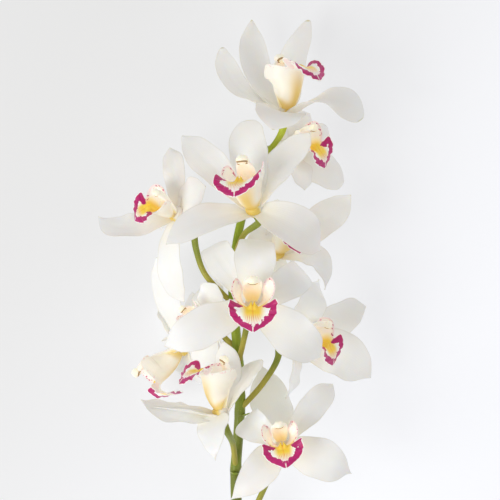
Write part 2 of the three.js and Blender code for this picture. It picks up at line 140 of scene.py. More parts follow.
def spline(table: Array, places: Array) -> Array:
    """A smooth curve through the rows of a table.

    Args:
        table: One row for each station.
        places: Where to read it, counted in stations from 0.

    Returns:
        One row for each place.
    """
    padded = extended(table)
    start = np.clip(np.floor(places).astype(int), 0, len(table) - 2)
    t = (places - start)[:, None]
    a, b, c, d = (padded[start + i] for i in range(4))
    return b + 0.5 * t * (c - a + t * (2 * a - 5 * b + 4 * c - d + t * (3 * (b - c) + d - a)))


@dataclass(frozen=True)
class RoundedLine:
    """A centripetal spline through a few points, read at shares of its length."""

    points: Array
    fine: int = 40

    def sample(self, shares: Array) -> tuple[Array, Array]:
        """The line's places and directions.

        Args:
            shares: Shares of the line's length, from 0 to 1.

        Returns:
            The places, and the unit directions there.
        """
        dense = self._dense()
        steps = np.linalg.norm(np.diff(dense, axis=0), axis=1)
        length = np.concatenate([[0], np.cumsum(steps)])
        wanted = shares * length[-1]
        places = np.stack([np.interp(wanted, length, dense[:, i]) for i in range(3)], axis=1)
        slopes = unit(np.gradient(dense, length, axis=0))
        directions = np.stack([np.interp(wanted, length, slopes[:, i]) for i in range(3)], axis=1)
        return places, unit(directions)

    def _dense(self) -> Array:
        """Follows the spline, by the pyramid form of a centripetal Catmull-Rom spline.

        Returns:
            Many points along it.
        """
        padded = extended(self.points)
        runs = []
        for i in range(len(self.points) - 1):
            a, b, c, d = padded[i : i + 4]
            knots = np.cumsum([0.0, *(math.sqrt(np.linalg.norm(v)) for v in (b - a, c - b, d - c))])
            t = np.linspace(knots[1], knots[2], self.fine, endpoint=False)[:, None]
            ab = between(a, b, knots[0], knots[1], t)
            bc = between(b, c, knots[1], knots[2], t)
            cd = between(c, d, knots[2], knots[3], t)
            first = between(ab, bc, knots[0], knots[2], t)
            second = between(bc, cd, knots[1], knots[3], t)
            runs.append(between(first, second, knots[1], knots[2], t))
        return np.vstack([*runs, self.points[-1:]])


@dataclass(frozen=True)
class MarginWaves:
    """Waves along the two margins of a blade. On each margin two waves are added up."""

    heights: tuple[float, float]
    left: tuple[float, float]  # how often each wave comes back over a run of 1
    right: tuple[float, float]

    def read(self, run: Array, v: Array, phases: Array) -> Array:
        """Reads the waves of the margin on whose side each point lies.

        Args:
            run: Each row's place along the blade.
            v: Places across it, below 0 on its left.
            phases: Where the two waves of the left margin and the two of the right one start.

        Returns:
            The waves' height at each point.
        """
        margins = []
        for counts, pair in zip((self.left, self.right), phases.reshape(2, 2)):
            first, second = (np.sin(2 * np.pi * count * run + phase) for count, phase in zip(counts, pair))
            margins.append(self.heights[0] * first + self.heights[1] * second)
        left, right = (margin[:, None] for margin in margins)
        return np.where(v < 0, left, right)


# ------------------------------------------------------------------------------------------- meshes


class Ends(Enum):
    """How the two ends of a lofted solid are closed."""

    SEAM = "a blade's two faces are joined across its end"
    FAN = "the loop is closed round its middle"


class Trait(Enum):
    """What each point of a mesh knows of its place, for the finishes to read."""

    ALONG = "along"  # from 0 at the root to 1 at the tip
    ACROSS = "across"  # from -1 to 1 across a blade, or round a stem
    MARGIN = "margin"  # millimetres to the nearest free edge
    INSIDE = "inside"  # 1 on the face that looks out of the bloom, 0 on its back


@dataclass
class Draft:
    """A mesh in the making: closed solids, with each point's traits."""

    points: list[Array] = field(default_factory=list)
    faces: list[list[int]] = field(default_factory=list)
    traits: dict[Trait, list[Array]] = field(default_factory=lambda: {trait: [] for trait in Trait})
    count: int = 0

    def loft(self, loops: Array, traits: dict[Trait, Array], ends: Ends) -> None:
        """Adds a closed solid skinned over loops of points.

        Args:
            loops: Points in mm, shaped (loops, points in a loop, 3). In a blade's loop the first half is
                its face and the second half is its back, in the other direction.
            traits: For each trait, a value of each point, shaped (loops, points in a loop).
            ends: How the first and last loops are closed.
        """
        rows, around = loops.shape[:2]
        at = np.arange(rows * around).reshape(rows, around)
        following = np.roll(at, -1, axis=1)
        quads = np.stack([at[:-1], following[:-1], following[1:], at[1:]], axis=-1).reshape(-1, 4)
        faces = quads.tolist()
        points = loops.reshape(-1, 3)
        values = {trait: np.asarray(traits[trait], float).reshape(-1) for trait in Trait}
        if ends is Ends.SEAM:
            for j in range(around // 2 - 1):
                k = around - 1 - j
                faces.append([k, k - 1, j + 1, j])
                faces.append([(rows - 1) * around + i for i in (j, j + 1, k - 1, k)])
        else:
            middles = np.array([loops[0].mean(axis=0), loops[-1].mean(axis=0)])
            points = np.vstack([points, middles])
            for trait, value in values.items():
                grid = value.reshape(rows, around)
                values[trait] = np.concatenate([value, [grid[0].mean(), grid[-1].mean()]])
            for j in range(around):
                k = (j + 1) % around
                faces.append([rows * around, k, j])
                faces.append([rows * around + 1, (rows - 1) * around + j, (rows - 1) * around + k])
        if self._volume(points, quads) < 0:
            faces = [face[::-1] for face in faces]
        self.faces += [[corner + self.count for corner in face] for face in faces]
        self.points.append(points)
        self.count += len(points)
        for trait in Trait:
            self.traits[trait].append(values[trait])

    @staticmethod
    def _volume(points: Array, quads: Array) -> float:
        """Roughly six times the volume inside the quads, below zero when they face inwards."""
        a, b, c, d = (points[quads[:, i]] - points.mean(axis=0) for i in range(4))
        return float(np.sum(np.cross(a, b) * c) + np.sum(np.cross(a, c) * d))

    def piece(self, name: str, material: bpy.types.Material, node: str, slot: str) -> bpy.types.Object:
        """Makes the object and hands it to the frame.

        Args:
            name: The piece's name.
            material: Its finish.
            node: The CAD node that it stands for.
            slot: Not used.

        Returns:
            The new object, in metres in the frame's axes.
        """
        mesh = bpy.data.meshes.new(name)
        points = (np.vstack(self.points) - FOOTPRINT_MIDDLE) * MM
        mesh.from_pydata(points.tolist(), [], self.faces)
        for trait in Trait:
            attribute = mesh.attributes.new(trait.value, "FLOAT", "POINT")
            attribute.data.foreach_set("value", np.concatenate(self.traits[trait]).astype(np.float32))
        mesh.polygons.foreach_set("use_smooth", np.ones(len(mesh.polygons), bool))
        mesh.materials.append(material)
        mesh.update()
        piece = bpy.data.objects.new(name, mesh)
        bpy.context.scene.collection.objects.link(piece)
        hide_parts(node)
        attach(piece, BODY)
        LOG.info("%s: %d points, %d faces", name, len(mesh.vertices), len(mesh.polygons))
        return piece


def blade_loops(middle: Array, lean: Array, thickness: Array) -> Array:
    """The loops of a thin blade.

    Args:
        middle: Points half way through it, shaped (rows, columns, 3).
        lean: Unit directions out of its face at those points.
        thickness: Its thickness there, shaped (rows, columns).

    Returns:
        Loops for Draft.loft, lifted clear of the surface where they would pass through it.
    """
    offset = lean * thickness[..., None] / 2
    face, back = middle + offset, middle - offset
    lift = np.maximum(0, -np.minimum(face[..., 2], back[..., 2]))
    face[..., 2] += lift
    back[..., 2] += lift
    return np.concatenate([face, back[:, ::-1]], axis=1)


def grid_traits(
    shape: tuple[int, int],
    along: Array | float = 0.0,
    across: Array | float = 0.0,
    margin: Array | float = 0.0,
    inside: Array | float = 0.0,
) -> dict[Trait, Array]:
    """The traits of a grid of points, each spread over the whole grid."""
    return {trait: np.broadcast_to(v, shape) for trait, v in zip(Trait, (along, across, margin, inside))}


def blade_traits(along: Array, across: Array, margin: Array) -> dict[Trait, Array]:
    """The traits of a blade's loops.

    Args:
        along: ALONG of each row.
        across: ACROSS of each column, or of each point of the blade's grid.
        margin: MARGIN of each point of its grid.

    Returns:
        The traits, the same on both faces apart from INSIDE.
    """
    face = grid_traits(margin.shape, along[:, None], across, margin, 1.0)
    traits = {trait: np.concatenate([grid, grid[:, ::-1]], axis=1) for trait, grid in face.items()}
    traits[Trait.INSIDE][:, margin.shape[1] :] = 0.0
    return traits


# ----------------------------------------------------------------------------------------- finishes


Socket = bpy.types.NodeSocket
Feed = Socket | float | Colour


@dataclass(frozen=True)
class Fade:
    """A smooth step between two values, with what it gives at the first and at the second."""

    low: float
    high: float
    start: float = 0.0
    end: float = 1.0


class Recipe:
    """Adds nodes to a node tree and links them."""

    # The Mix node's colour sockets, by number, because its other modes share their names.
    MIX_SHARE, MIX_FIRST, MIX_SECOND, MIX_RESULT = 0, 6, 7, 2

    def __init__(self, tree: bpy.types.NodeTree) -> None:
        """Starts a recipe in a node tree."""
        self.tree = tree

    def node(
        self, kind: str, inputs: dict[str | int, Feed] | None = None, **settings: object
    ) -> bpy.types.Node:
        """Adds a node.

        Args:
            kind: The node's type.
            inputs: For each input, a socket to link from or a value to set.
            settings: The node's own settings.

        Returns:
            The new node.
        """
        node = self.tree.nodes.new(kind)
        for name, value in settings.items():
            setattr(node, name, value)
        for name, feed in (inputs or {}).items():
            if isinstance(feed, bpy.types.NodeSocket):
                self.link(feed, node.inputs[name])
            else:
                node.inputs[name].default_value = feed
        return node

    def link(self, feed: Socket, socket: Socket) -> None:
        """Links a result to an input."""
        self.tree.links.new(feed, socket)

    def math(self, operation: str, *feeds: Feed) -> Socket:
        """The result of a sum of one to three values."""
        return self.node("ShaderNodeMath", dict(enumerate(feeds)), operation=operation).outputs[0]

    def times(self, first: Feed, second: Feed) -> Socket:
        """The product of two values."""
        return self.math("MULTIPLY", first, second)

    def step(self, value: Feed, fade: Fade) -> Socket:
        """A smooth step over a value.

        Args:
            value: What to read.
            fade: Where the step lies, and what it gives at its ends.

        Returns:
            What it gives at the value.
        """
        ends = {"From Min": fade.low, "From Max": fade.high, "To Min": fade.start, "To Max": fade.end}
        settings = {"interpolation_type": "SMOOTHSTEP"}
        return self.node("ShaderNodeMapRange", {"Value": value, **ends}, **settings).outputs["Result"]

    def mix(self, share: Feed, first: Feed, second: Feed) -> Socket:
        """A colour between two colours."""
        inputs = {self.MIX_SHARE: share, self.MIX_FIRST: first, self.MIX_SECOND: second}
        return self.node("ShaderNodeMix", inputs, data_type="RGBA").outputs[self.MIX_RESULT]

    def trait(self, trait: Trait) -> Socket:
        """A trait of the mesh."""
        return self.node("ShaderNodeAttribute", attribute_name=trait.value).outputs["Fac"]

    def here(self) -> Socket:
        """The place of each point of the piece, in metres."""
        return self.node("ShaderNodeTexCoord").outputs["Object"]

    def noise(self, scale: Feed, detail: float = 2.0, place: Feed | None = None) -> Socket:
        """Soft noise from 0 to 1, over the piece or over a place that is given."""
        inputs = {"Vector": self.here() if place is None else place, "Scale": scale, "Detail": detail}
        return self.node("ShaderNodeTexNoise", inputs).outputs["Fac"]

    def place(self, x: Feed, y: Feed, z: Feed = 0.0) -> Socket:
        """A place made of three values."""
        return self.node("ShaderNodeCombineXYZ", {0: x, 1: y, 2: z}).outputs[0]


def shared_group(
    name: str, inputs: Sequence[str], outputs: Sequence[str]
) -> tuple[bpy.types.NodeTree, Recipe]:
    """A new shader node group of plain values.

    Args:
        name: The group's name.
        inputs: Names of its inputs.
        outputs: Names of its outputs.

    Returns:
        The group and a recipe that adds nodes to it.
    """
    group = bpy.data.node_groups.new(name, "ShaderNodeTree")
    for label in inputs:
        group.interface.new_socket(label, in_out="INPUT", socket_type="NodeSocketFloat")
    for label in outputs:
        group.interface.new_socket(label, in_out="OUTPUT", socket_type="NodeSocketFloat")
    return group, Recipe(group)


@dataclass
class PlantTissue:
    """Two effects that every part of the plant shows: the cells of its skin, and veins along its length."""

    blotch_detail: float = 3.0
    blotch_edges: Fade = Fade(0.3, 0.7)
    drift_stretch: float = 4.0  # how much faster the veins wander along the blade than across it
    vein_width: Fade = Fade(0.0, 0.55, 1.0, 0.0)
    skin: bpy.types.NodeTree = field(init=False)
    veins: bpy.types.NodeTree = field(init=False)

    def __post_init__(self) -> None:
        """Builds the two node groups."""
        self.skin = self._build_skin()
        self.veins = self._build_veins()

    def _build_skin(self) -> bpy.types.NodeTree:
        """Builds the skin's effect.

        Returns:
            A group that gives soft blotches of tone, and the fine pebbling of the cells.
        """
        group, recipe = shared_group("tissue_skin", ["Blotch Scale", "Cell Scale"], ["Tone", "Cells"])
        given = recipe.node("NodeGroupInput").outputs
        place = recipe.here()
        tone = recipe.noise(given["Blotch Scale"], self.blotch_detail, place)
        pebble = {"Vector": place, "Scale": given["Cell Scale"]}
        cells = recipe.node("ShaderNodeTexVoronoi", pebble).outputs["Distance"]
        recipe.node("NodeGroupOutput", {"Tone": recipe.step(tone, self.blotch_edges), "Cells": cells})
        return group

    def _build_veins(self) -> bpy.types.NodeTree:
        """Builds the veins' effect.

        Returns:
            A group that gives lines along a blade, fanned out from its root and slightly wavering.
        """
        group, recipe = shared_group("tissue_veins", ["Along", "Across", "Count", "Waver"], ["Veins"])
        given = recipe.node("NodeGroupInput").outputs
        place = recipe.place(recipe.times(given["Along"], self.drift_stretch), given["Across"])
        waver = recipe.times(recipe.noise(1.0, 1.0, place), given["Waver"])
        phase = recipe.math("MULTIPLY_ADD", given["Across"], given["Count"], waver)
        line = recipe.math("ABSOLUTE", recipe.math("SINE", recipe.times(phase, math.pi)))
        recipe.node("NodeGroupOutput", {"Veins": recipe.step(line, self.vein_width)})
        return group


@dataclass(frozen=True)
class Surface:
    """How a finish answers light: the same all over the surface."""

    roughness: float
    glow: float = 0.0  # share of the light that wanders through the tissue
    depth: float = 0.0  # how far it wanders, in metres
    painted_glow: float = 0.0  # painted glow: light that the tissue gives off in its own colour, standing in for light through thin tissue and lifting its shade
    specular: float = 0.5
    wander: tuple[float, float, float] = (1.0, 0.75, 0.5)  # how far red, green and blue wander


@dataclass(frozen=True)
class Texture:
    """The size of a finish's fine marks."""

    blotches: float  # to the metre
    cells: float  # to the metre
    veins: float = 0.0  # lines on each half of a blade
    waver: float = 0.0  # how far they wander, in line spacings
    depth: float = 0.0001  # depth of the relief, in metres


class Finish:
    """A material in the making, with the plant's shared effects at hand."""

    def __init__(self, name: str, surface: Surface, texture: Texture, tissue: PlantTissue) -> None:
        """Starts a material.

        Args:
            name: The material's name.
            surface: How it answers light.
            texture: The size of its fine marks.
            tissue: The shared effects.
        """
        self.material = bpy.data.materials.new(name)
        self.material.use_nodes = True
        self.texture = texture
        self.tissue = tissue
        self.recipe = Recipe(self.material.node_tree)
        self.shader = self.material.node_tree.nodes["Principled BSDF"]
        sockets = self.shader.inputs
        sockets["Roughness"].default_value = surface.roughness
        sockets["Specular IOR Level"].default_value = surface.specular
        # Painted glow: the surface gives off light of its own colour, standing in for light through the
        # tissue.
        sockets["Emission Strength"].default_value = surface.painted_glow
        sockets["Subsurface Weight"].default_value = surface.glow
        sockets["Subsurface Radius"].default_value = surface.wander
        sockets["Subsurface Scale"].default_value = surface.depth

    def skin(self) -> tuple[Socket, Socket]:
        """The skin's effect.

        Returns:
            The tone, from 0 to 1, and the height of the cells.
        """
        inputs = {"Blotch Scale": self.texture.blotches, "Cell Scale": self.texture.cells}
        node = self.recipe.node("ShaderNodeGroup", inputs, node_tree=self.tissue.skin)
        return node.outputs["Tone"], node.outputs["Cells"]

    def veins(self) -> Socket:
        """The veins' effect.

        Returns:
            1 on a line and 0 between lines.
        """
        along, across = self.recipe.trait(Trait.ALONG), self.recipe.trait(Trait.ACROSS)
        counts = {"Count": self.texture.veins, "Waver": self.texture.waver}
        inputs = {"Along": along, "Across": across, **counts}
        return self.recipe.node("ShaderNodeGroup", inputs, node_tree=self.tissue.veins).outputs["Veins"]

    def paint(self, base: Socket) -> None:
        """Sets the colour, of the surface and of the painted glow that it gives off."""
        self.recipe.link(base, self.shader.inputs["Base Color"])
        self.recipe.link(base, self.shader.inputs["Emission Color"])

    def gloss(self, roughness: Socket) -> None:
        """Sets a roughness that changes over the surface."""
        self.recipe.link(roughness, self.shader.inputs["Roughness"])

    def relief(self, height: Socket) -> None:
        """Sets the fine relief.

        Args:
            height: The relief, from 0 to 1.
        """
        inputs = {"Height": height, "Distance": self.texture.depth, "Strength": 1.0}
        normal = self.recipe.node("ShaderNodeBump", inputs).outputs["Normal"]
        self.recipe.link(normal, self.shader.inputs["Normal"])


@dataclass(frozen=True)
class TepalFinish:
    """Waxy white tepals: cream at the root, a green point at the tip, faint veins along them, and painted
    shade: a thin darker beige along their margins.

    The cup that they grow from is yellow under the lip, where its MARGIN is below 0.
    """

    white: Colour = colour("f5f5f3")
    shade: Colour = colour("efece6")
    root: Colour = colour("f1ebd9")
    foot: Colour = colour("e4c768")
    blush: Colour = colour("efe0d8")
    tip: Colour = colour("c9c89a")
    # Painted shade: a darker beige for the margins, so that they read as shaded edges.
    rim: Colour = colour("d8d2c2")
    surface: Surface = Surface(roughness=0.42, glow=0.45, depth=0.003, painted_glow=0.085, specular=0.4)
    texture: Texture = Texture(blotches=28.0, cells=1600.0, veins=9.0, waver=0.8, depth=0.00008)
    blush_scale: float = 16.0
    # Shares of a colour or of a height.
    shade_share: float = 0.6
    vein_share: float = 0.05
    vein_height: float = -0.3
    cell_height: float = 0.4
    # Over the blotches and the noise.
    blush_patches: Fade = Fade(0.5, 0.75)
    gloss: Fade = Fade(0.0, 1.0, 0.38, 0.48)
    # Over ALONG.
    root_reach: Fade = Fade(0.03, 0.45, 0.6, 0.0)
    tip_reach: Fade = Fade(0.985, 1.0, 0.0, 0.6)
    # Over MARGIN.
    blush_reach: Fade = Fade(1.0, 9.0, 0.5, 0.1)
    # How far in from the margins the painted shade reaches.
    rim_width: Fade = Fade(0.9, 0.2, 0.0, 0.35)
    foot_reach: Fade = Fade(-0.1, -0.6)

    def make(self, tissue: PlantTissue) -> bpy.types.Material:
        """Makes the material.

        Args:
            tissue: The shared effects.

        Returns:
            The material.
        """
        finish = Finish("waxy_white_tepal", self.surface, self.texture, tissue)
        recipe = finish.recipe
        along, margin = recipe.trait(Trait.ALONG), recipe.trait(Trait.MARGIN)
        tone, cells = finish.skin()
        veins = finish.veins()
        base = recipe.mix(recipe.times(tone, self.shade_share), self.white, self.shade)
        base = recipe.mix(recipe.step(along, self.root_reach), base, self.root)
        patches = recipe.step(recipe.noise(self.blush_scale), self.blush_patches)
        base = recipe.mix(recipe.times(patches, recipe.step(margin, self.blush_reach)), base, self.blush)
        base = recipe.mix(recipe.times(veins, self.vein_share), base, self.shade)
        # Painted shade: the margins are darkened towards beige.
        base = recipe.mix(recipe.step(margin, self.rim_width), base, self.rim)
        base = recipe.mix(recipe.step(along, self.tip_reach), base, self.tip)
        base = recipe.mix(recipe.step(margin, self.foot_reach), base, self.foot)
        finish.paint(base)
        finish.gloss(recipe.step(tone, self.gloss))
        lines, pebbles = recipe.times(veins, self.vein_height), recipe.times(cells, self.cell_height)
        finish.relief(recipe.math("ADD", lines, pebbles))
        return finish.material


@dataclass(frozen=True)
class MagentaBand:
    """The lip's magenta: a ragged band inside the middle lobe's rim, and spots on the side lobes."""

    ragged_scale: float = 420.0
    ragged_detail: float = 3.0
    inner_wander: float = 4.5  # how far the band's inner edge wanders, in mm
    outer_wander: float = 0.5
    spot_scale: float = 620.0
    spots: Fade = Fade(0.56, 0.62)
    # Over ALONG.
    width: Fade = Fade(0.80, 0.95, 4.7, 4.0)  # it gives mm
    starts: Fade = Fade(0.555, 0.585)
    split_from: Fade = Fade(0.90, 0.95)
    spots_from: Fade = Fade(0.34, 0.40)
    spots_to: Fade = Fade(0.57, 0.55)
    # Over how far ACROSS is from the middle.
    split_width: Fade = Fade(0.10, 0.03)
    # Over millimetres from an edge.
    inner_edge: Fade = Fade(-0.15, 0.25)
    outer_edge: Fade = Fade(0.3, 0.7)
    spots_reach: Fade = Fade(2.6, 1.2)
    spots_clear: Fade = Fade(0.3, 0.6)

    def share(self, recipe: Recipe) -> Socket:
        """How much of the lip's colour is magenta.

        Args:
            recipe: The recipe of the lip's material.

        Returns:
            A share from 0 to 1.
        """
        along, margin = recipe.trait(Trait.ALONG), recipe.trait(Trait.MARGIN)
        aside = recipe.math("ABSOLUTE", recipe.trait(Trait.ACROSS))
        ragged = recipe.math("SUBTRACT", recipe.noise(self.ragged_scale, self.ragged_detail), 0.5)
        reach = recipe.math("MULTIPLY_ADD", ragged, self.inner_wander, recipe.step(along, self.width))
        inner = recipe.step(recipe.math("SUBTRACT", reach, margin), self.inner_edge)
        outer = recipe.step(recipe.math("MULTIPLY_ADD", ragged, self.outer_wander, margin), self.outer_edge)
        band = recipe.times(recipe.times(inner, outer), recipe.step(along, self.starts))
        split = recipe.times(recipe.step(aside, self.split_width), recipe.step(along, self.split_from))
        band = recipe.times(band, recipe.math("SUBTRACT", 1.0, split))
        near_rim = recipe.times(recipe.step(margin, self.spots_reach), recipe.step(margin, self.spots_clear))
        spots = recipe.times(recipe.step(recipe.noise(self.spot_scale, 1.0), self.spots), near_rim)
        on_lobe = recipe.times(recipe.step(along, self.spots_from), recipe.step(along, self.spots_to))
        return recipe.math("MAXIMUM", band, recipe.times(spots, on_lobe))


@dataclass(frozen=True)
class LipFinish:
    """A white lip: a magenta band inside its margin, red streaks, a yellow ridge and flushed side lobes.

    Unless their comment says otherwise, the fades named _from, _to and _along lie over ALONG, and those named
    _aside lie over how far ACROSS is from the middle.
    """

    white: Colour = colour("f9f6f0")
    rim: Colour = colour("f7eef0")
    magenta: Colour = colour("c42678")
    deep: Colour = colour("a31860")
    streak: Colour = colour("c63c56")
    yellow: Colour = colour("f8d24a")
    amber: Colour = colour("eab83e")
    keel: Colour = colour("e2c468")
    cream: Colour = colour("f5ecda")
    flush: Colour = colour("e8b4c6")
    surface: Surface = Surface(roughness=0.4, glow=0.5, depth=0.002, painted_glow=0.15, specular=0.45)
    texture: Texture = Texture(blotches=30.0, cells=1500.0, veins=12.0, waver=1.6, depth=0.00010)
    band: MagentaBand = MagentaBand()
    cell_height: float = 0.6
    gloss_scale: float = 60.0
    gloss: Fade = Fade(0.3, 0.7, 0.34, 0.46)  # over the noise
    deep_scale: float = 300.0
    # The side lobes' flush.
    lobe_to: Fade = Fade(0.58, 0.54)
    lobe_rim: Fade = Fade(2.6, 0.4, 0.0, 0.5)  # over MARGIN
    # The yellow of the throat and of the ridge, with its darker groove.
    throat_aside: Fade = Fade(0.5, 0.12)
    throat_to: Fade = Fade(0.46, 0.24, 0.0, 0.45)
    ridge_aside: Fade = Fade(0.56, 0.22)
    ridge_to: Fade = Fade(0.91, 0.72)
    groove_aside: Fade = Fade(0.045, 0.01, 0.0, 0.7)
    # The red streaks.
    streak_scale: float = 900.0
    streak_breaks: Fade = Fade(0.20, 0.36)  # over the noise
    streak_aside: Fade = Fade(0.52, 0.24)
    streak_from: Fade = Fade(0.73, 0.81)
    streak_to: Fade = Fade(0.98, 0.94)
    # The white rim outside the band.
    rim_width: Fade = Fade(0.7, 0.2)  # over MARGIN
    rim_from: Fade = Fade(0.52, 0.62)
    # The outside.
    cream_along: Fade = Fade(0.85, 0.15, 0.2, 0.9)
    root_to: Fade = Fade(0.17, 0.03, 0.0, 0.9)
    keel_aside: Fade = Fade(0.42, 0.04)
    keel_along: Fade = Fade(0.62, 0.22, 0.1, 0.9)
    keel_to: Fade = Fade(0.80, 0.64)
    band_through: float = 0.22  # how much of the band shows from behind

    def make(self, tissue: PlantTissue) -> bpy.types.Material:
        """Makes the material.

        Args:
            tissue: The shared effects.

        Returns:
            The material.
        """
        finish = Finish("banded_lip", self.surface, self.texture, tissue)
        recipe = finish.recipe
        _, cells = finish.skin()
        finish.paint(recipe.mix(recipe.trait(Trait.INSIDE), self._back(recipe), self._face(finish)))
        finish.gloss(recipe.step(recipe.noise(self.gloss_scale), self.gloss))
        finish.relief(recipe.times(cells, self.cell_height))
        return finish.material

    def _face(self, finish: Finish) -> Socket:
        """Colours the face that looks out of the bloom.

        Args:
            finish: The material in the making.

        Returns:
            The face's colour.
        """
        recipe = finish.recipe
        along, margin = recipe.trait(Trait.ALONG), recipe.trait(Trait.MARGIN)
        aside = recipe.math("ABSOLUTE", recipe.trait(Trait.ACROSS))
        lobe = recipe.times(recipe.step(along, self.lobe_to), recipe.step(margin, self.lobe_rim))
        base = recipe.mix(lobe, self.white, self.flush)
        throat = recipe.times(recipe.step(aside, self.throat_aside), recipe.step(along, self.throat_to))
        base = recipe.mix(throat, base, self.yellow)
        ridge = recipe.times(recipe.step(aside, self.ridge_aside), recipe.step(along, self.ridge_to))
        base = recipe.mix(ridge, base, self.yellow)
        base = recipe.mix(recipe.times(ridge, recipe.step(aside, self.groove_aside)), base, self.amber)
        breaks = recipe.step(recipe.noise(self.streak_scale, 1.0), self.streak_breaks)
        reach = recipe.times(recipe.step(aside, self.streak_aside), recipe.step(along, self.streak_from))
        reach = recipe.times(reach, recipe.step(along, self.streak_to))
        base = recipe.mix(recipe.times(recipe.times(finish.veins(), breaks), reach), base, self.streak)
        purple = recipe.mix(recipe.noise(self.deep_scale), self.magenta, self.deep)
        base = recipe.mix(self.band.share(recipe), base, purple)
        edge = recipe.times(recipe.step(margin, self.rim_width), recipe.step(along, self.rim_from))
        return recipe.mix(edge, base, self.rim)

    def _back(self, recipe: Recipe) -> Socket:
        """Colours the outside: yellow at its root and along its keel, cream and then white beyond.

        Args:
            recipe: The material's recipe.

        Returns:
            The outside's colour.
        """
        along = recipe.trait(Trait.ALONG)
        aside = recipe.math("ABSOLUTE", recipe.trait(Trait.ACROSS))
        base = recipe.mix(recipe.step(along, self.cream_along), self.white, self.cream)
        base = recipe.mix(recipe.step(along, self.root_to), base, self.keel)
        keel = recipe.times(recipe.step(aside, self.keel_aside), recipe.step(along, self.keel_along))
        base = recipe.mix(recipe.times(keel, recipe.step(along, self.keel_to)), base, self.keel)
        return recipe.mix(recipe.times(self.band.share(recipe), self.band_through), base, self.magenta)


@dataclass(frozen=True)
class ColumnFinish:
    """A cream column with a pale yellow foot, a faintly rosy underside, and painted shadow: a brown line
    under its cap, where the cap overhangs the hollow below.

    ACROSS is -1 under the column and 1 on top of it, and MARGIN is below 0 on the cap.
    """

    cream: Colour = colour("f8f3e4")
    under: Colour = colour("f8efe2")
    foot: Colour = colour("f4e6b4")
    rose: Colour = colour("f6ebe2")
    cap: Colour = colour("fbf4e0")
    # Painted shadow: the brown of the gap under the anther cap.
    line: Colour = colour("94713a")
    surface: Surface = Surface(roughness=0.36, glow=0.5, depth=0.002, painted_glow=0.22, specular=0.45)
    texture: Texture = Texture(blotches=120.0, cells=1800.0, depth=0.00006)
    under_share: float = 0.4
    rose_scale: float = 240.0
    rose_patches: Fade = Fade(0.45, 0.65, 0.0, 0.5)  # over the noise
    # Over ALONG.
    foot_to: Fade = Fade(0.42, 0.08)
    cap_shadow_from: Fade = Fade(0.86, 0.92)
    # Over ACROSS.
    below: Fade = Fade(0.2, -0.4)
    foot_below: Fade = Fade(0.6, 0.0)
    cap_shadow_below: Fade = Fade(-0.2, -0.5)
    # The painted shadow's arc along the cap's lower edge.
    smile_from: Fade = Fade(-0.44, -0.54)
    smile_to: Fade = Fade(-0.84, -0.72)
    smile_share: float = 0.9
    # Over MARGIN.
    cap_reach: Fade = Fade(0.0, -0.4)

    def make(self, tissue: PlantTissue) -> bpy.types.Material:
        """Makes the material.

        Args:
            tissue: The shared effects.

        Returns:
            The material.
        """
        finish = Finish("cream_column", self.surface, self.texture, tissue)
        recipe = finish.recipe
        along, across = recipe.trait(Trait.ALONG), recipe.trait(Trait.ACROSS)
        tone, cells = finish.skin()
        below = recipe.step(across, self.below)
        base = recipe.mix(recipe.times(tone, self.under_share), self.cream, self.under)
        base = recipe.mix(below, base, self.under)
        patches = recipe.step(recipe.noise(self.rose_scale), self.rose_patches)
        base = recipe.mix(recipe.times(below, patches), base, self.rose)
        foot = recipe.times(recipe.step(across, self.foot_below), recipe.step(along, self.foot_to))
        base = recipe.mix(foot, base, self.foot)
        # Painted shadow: brown under the column's end just behind the cap, and in an arc along the cap's
        # lower edge.
        cap_shadow = recipe.times(recipe.step(along, self.cap_shadow_from), recipe.step(across, self.cap_shadow_below))
        base = recipe.mix(cap_shadow, base, self.line)
        smile = recipe.times(recipe.step(across, self.smile_from), recipe.step(across, self.smile_to))
        cap = recipe.mix(recipe.times(smile, self.smile_share), self.cap, self.line)
        finish.paint(recipe.mix(recipe.step(recipe.trait(Trait.MARGIN), self.cap_reach), base, cap))
        finish.relief(cells)
        return finish.material


class StemColour(Enum):
    """The greens of the stem's parts: at their root, at their far end, and of their fine lines."""

    STALK = ("6c7030", "93a722", "b4ba62")
    PEDICEL = ("b9ad42", "8f9a34", "d2d08a")
    YOUNG_PEDICEL = ("aebb2a", "c0cb38", "dce28c")


@dataclass(frozen=True)
class StemFinish:
    """Smooth green stems, lighter at a cut end, with fine lines along them. MARGIN is 0 on a cut face."""

    greens: StemColour
    surface: Surface = Surface(roughness=0.38, glow=0.1, depth=0.001, specular=0.4)
    texture: Texture = Texture(blotches=45.0, cells=1100.0, veins=14.0, waver=0.6, depth=0.00012)
    tone_shift: float = 0.16  # how much the blotches shift the change from the root's green to the far one
    far_reach: Fade = Fade(0.38, 0.72)  # over ALONG
    line_share: float = 0.22
    fleck_scale: float = 900.0
    flecks: Fade = Fade(0.62, 0.72, 0.0, 0.3)  # over the noise
    cut_reach: Fade = Fade(0.6, 0.0)  # over MARGIN
    line_height: float = 0.7
    cell_height: float = 0.3

    def make(self, tissue: PlantTissue) -> bpy.types.Material:
        """Makes the material.

        Args:
            tissue: The shared effects.

        Returns:
            The material.
        """
        root, far, pale = (colour(code) for code in self.greens.value)
        finish = Finish(f"green_{self.greens.name.lower()}", self.surface, self.texture, tissue)
        recipe = finish.recipe
        tone, cells = finish.skin()
        lines = finish.veins()
        reach = recipe.math("MULTIPLY_ADD", tone, self.tone_shift, recipe.trait(Trait.ALONG))
        base = recipe.mix(recipe.step(reach, self.far_reach), root, far)
        base = recipe.mix(recipe.times(lines, self.line_share), base, pale)
        base = recipe.mix(recipe.step(recipe.noise(self.fleck_scale), self.flecks), base, pale)
        base = recipe.mix(recipe.step(recipe.trait(Trait.MARGIN), self.cut_reach), base, pale)
        finish.paint(base)
        ribs, pebbles = recipe.times(lines, self.line_height), recipe.times(cells, self.cell_height)
        finish.relief(recipe.math("ADD", ribs, pebbles))
        return finish.material


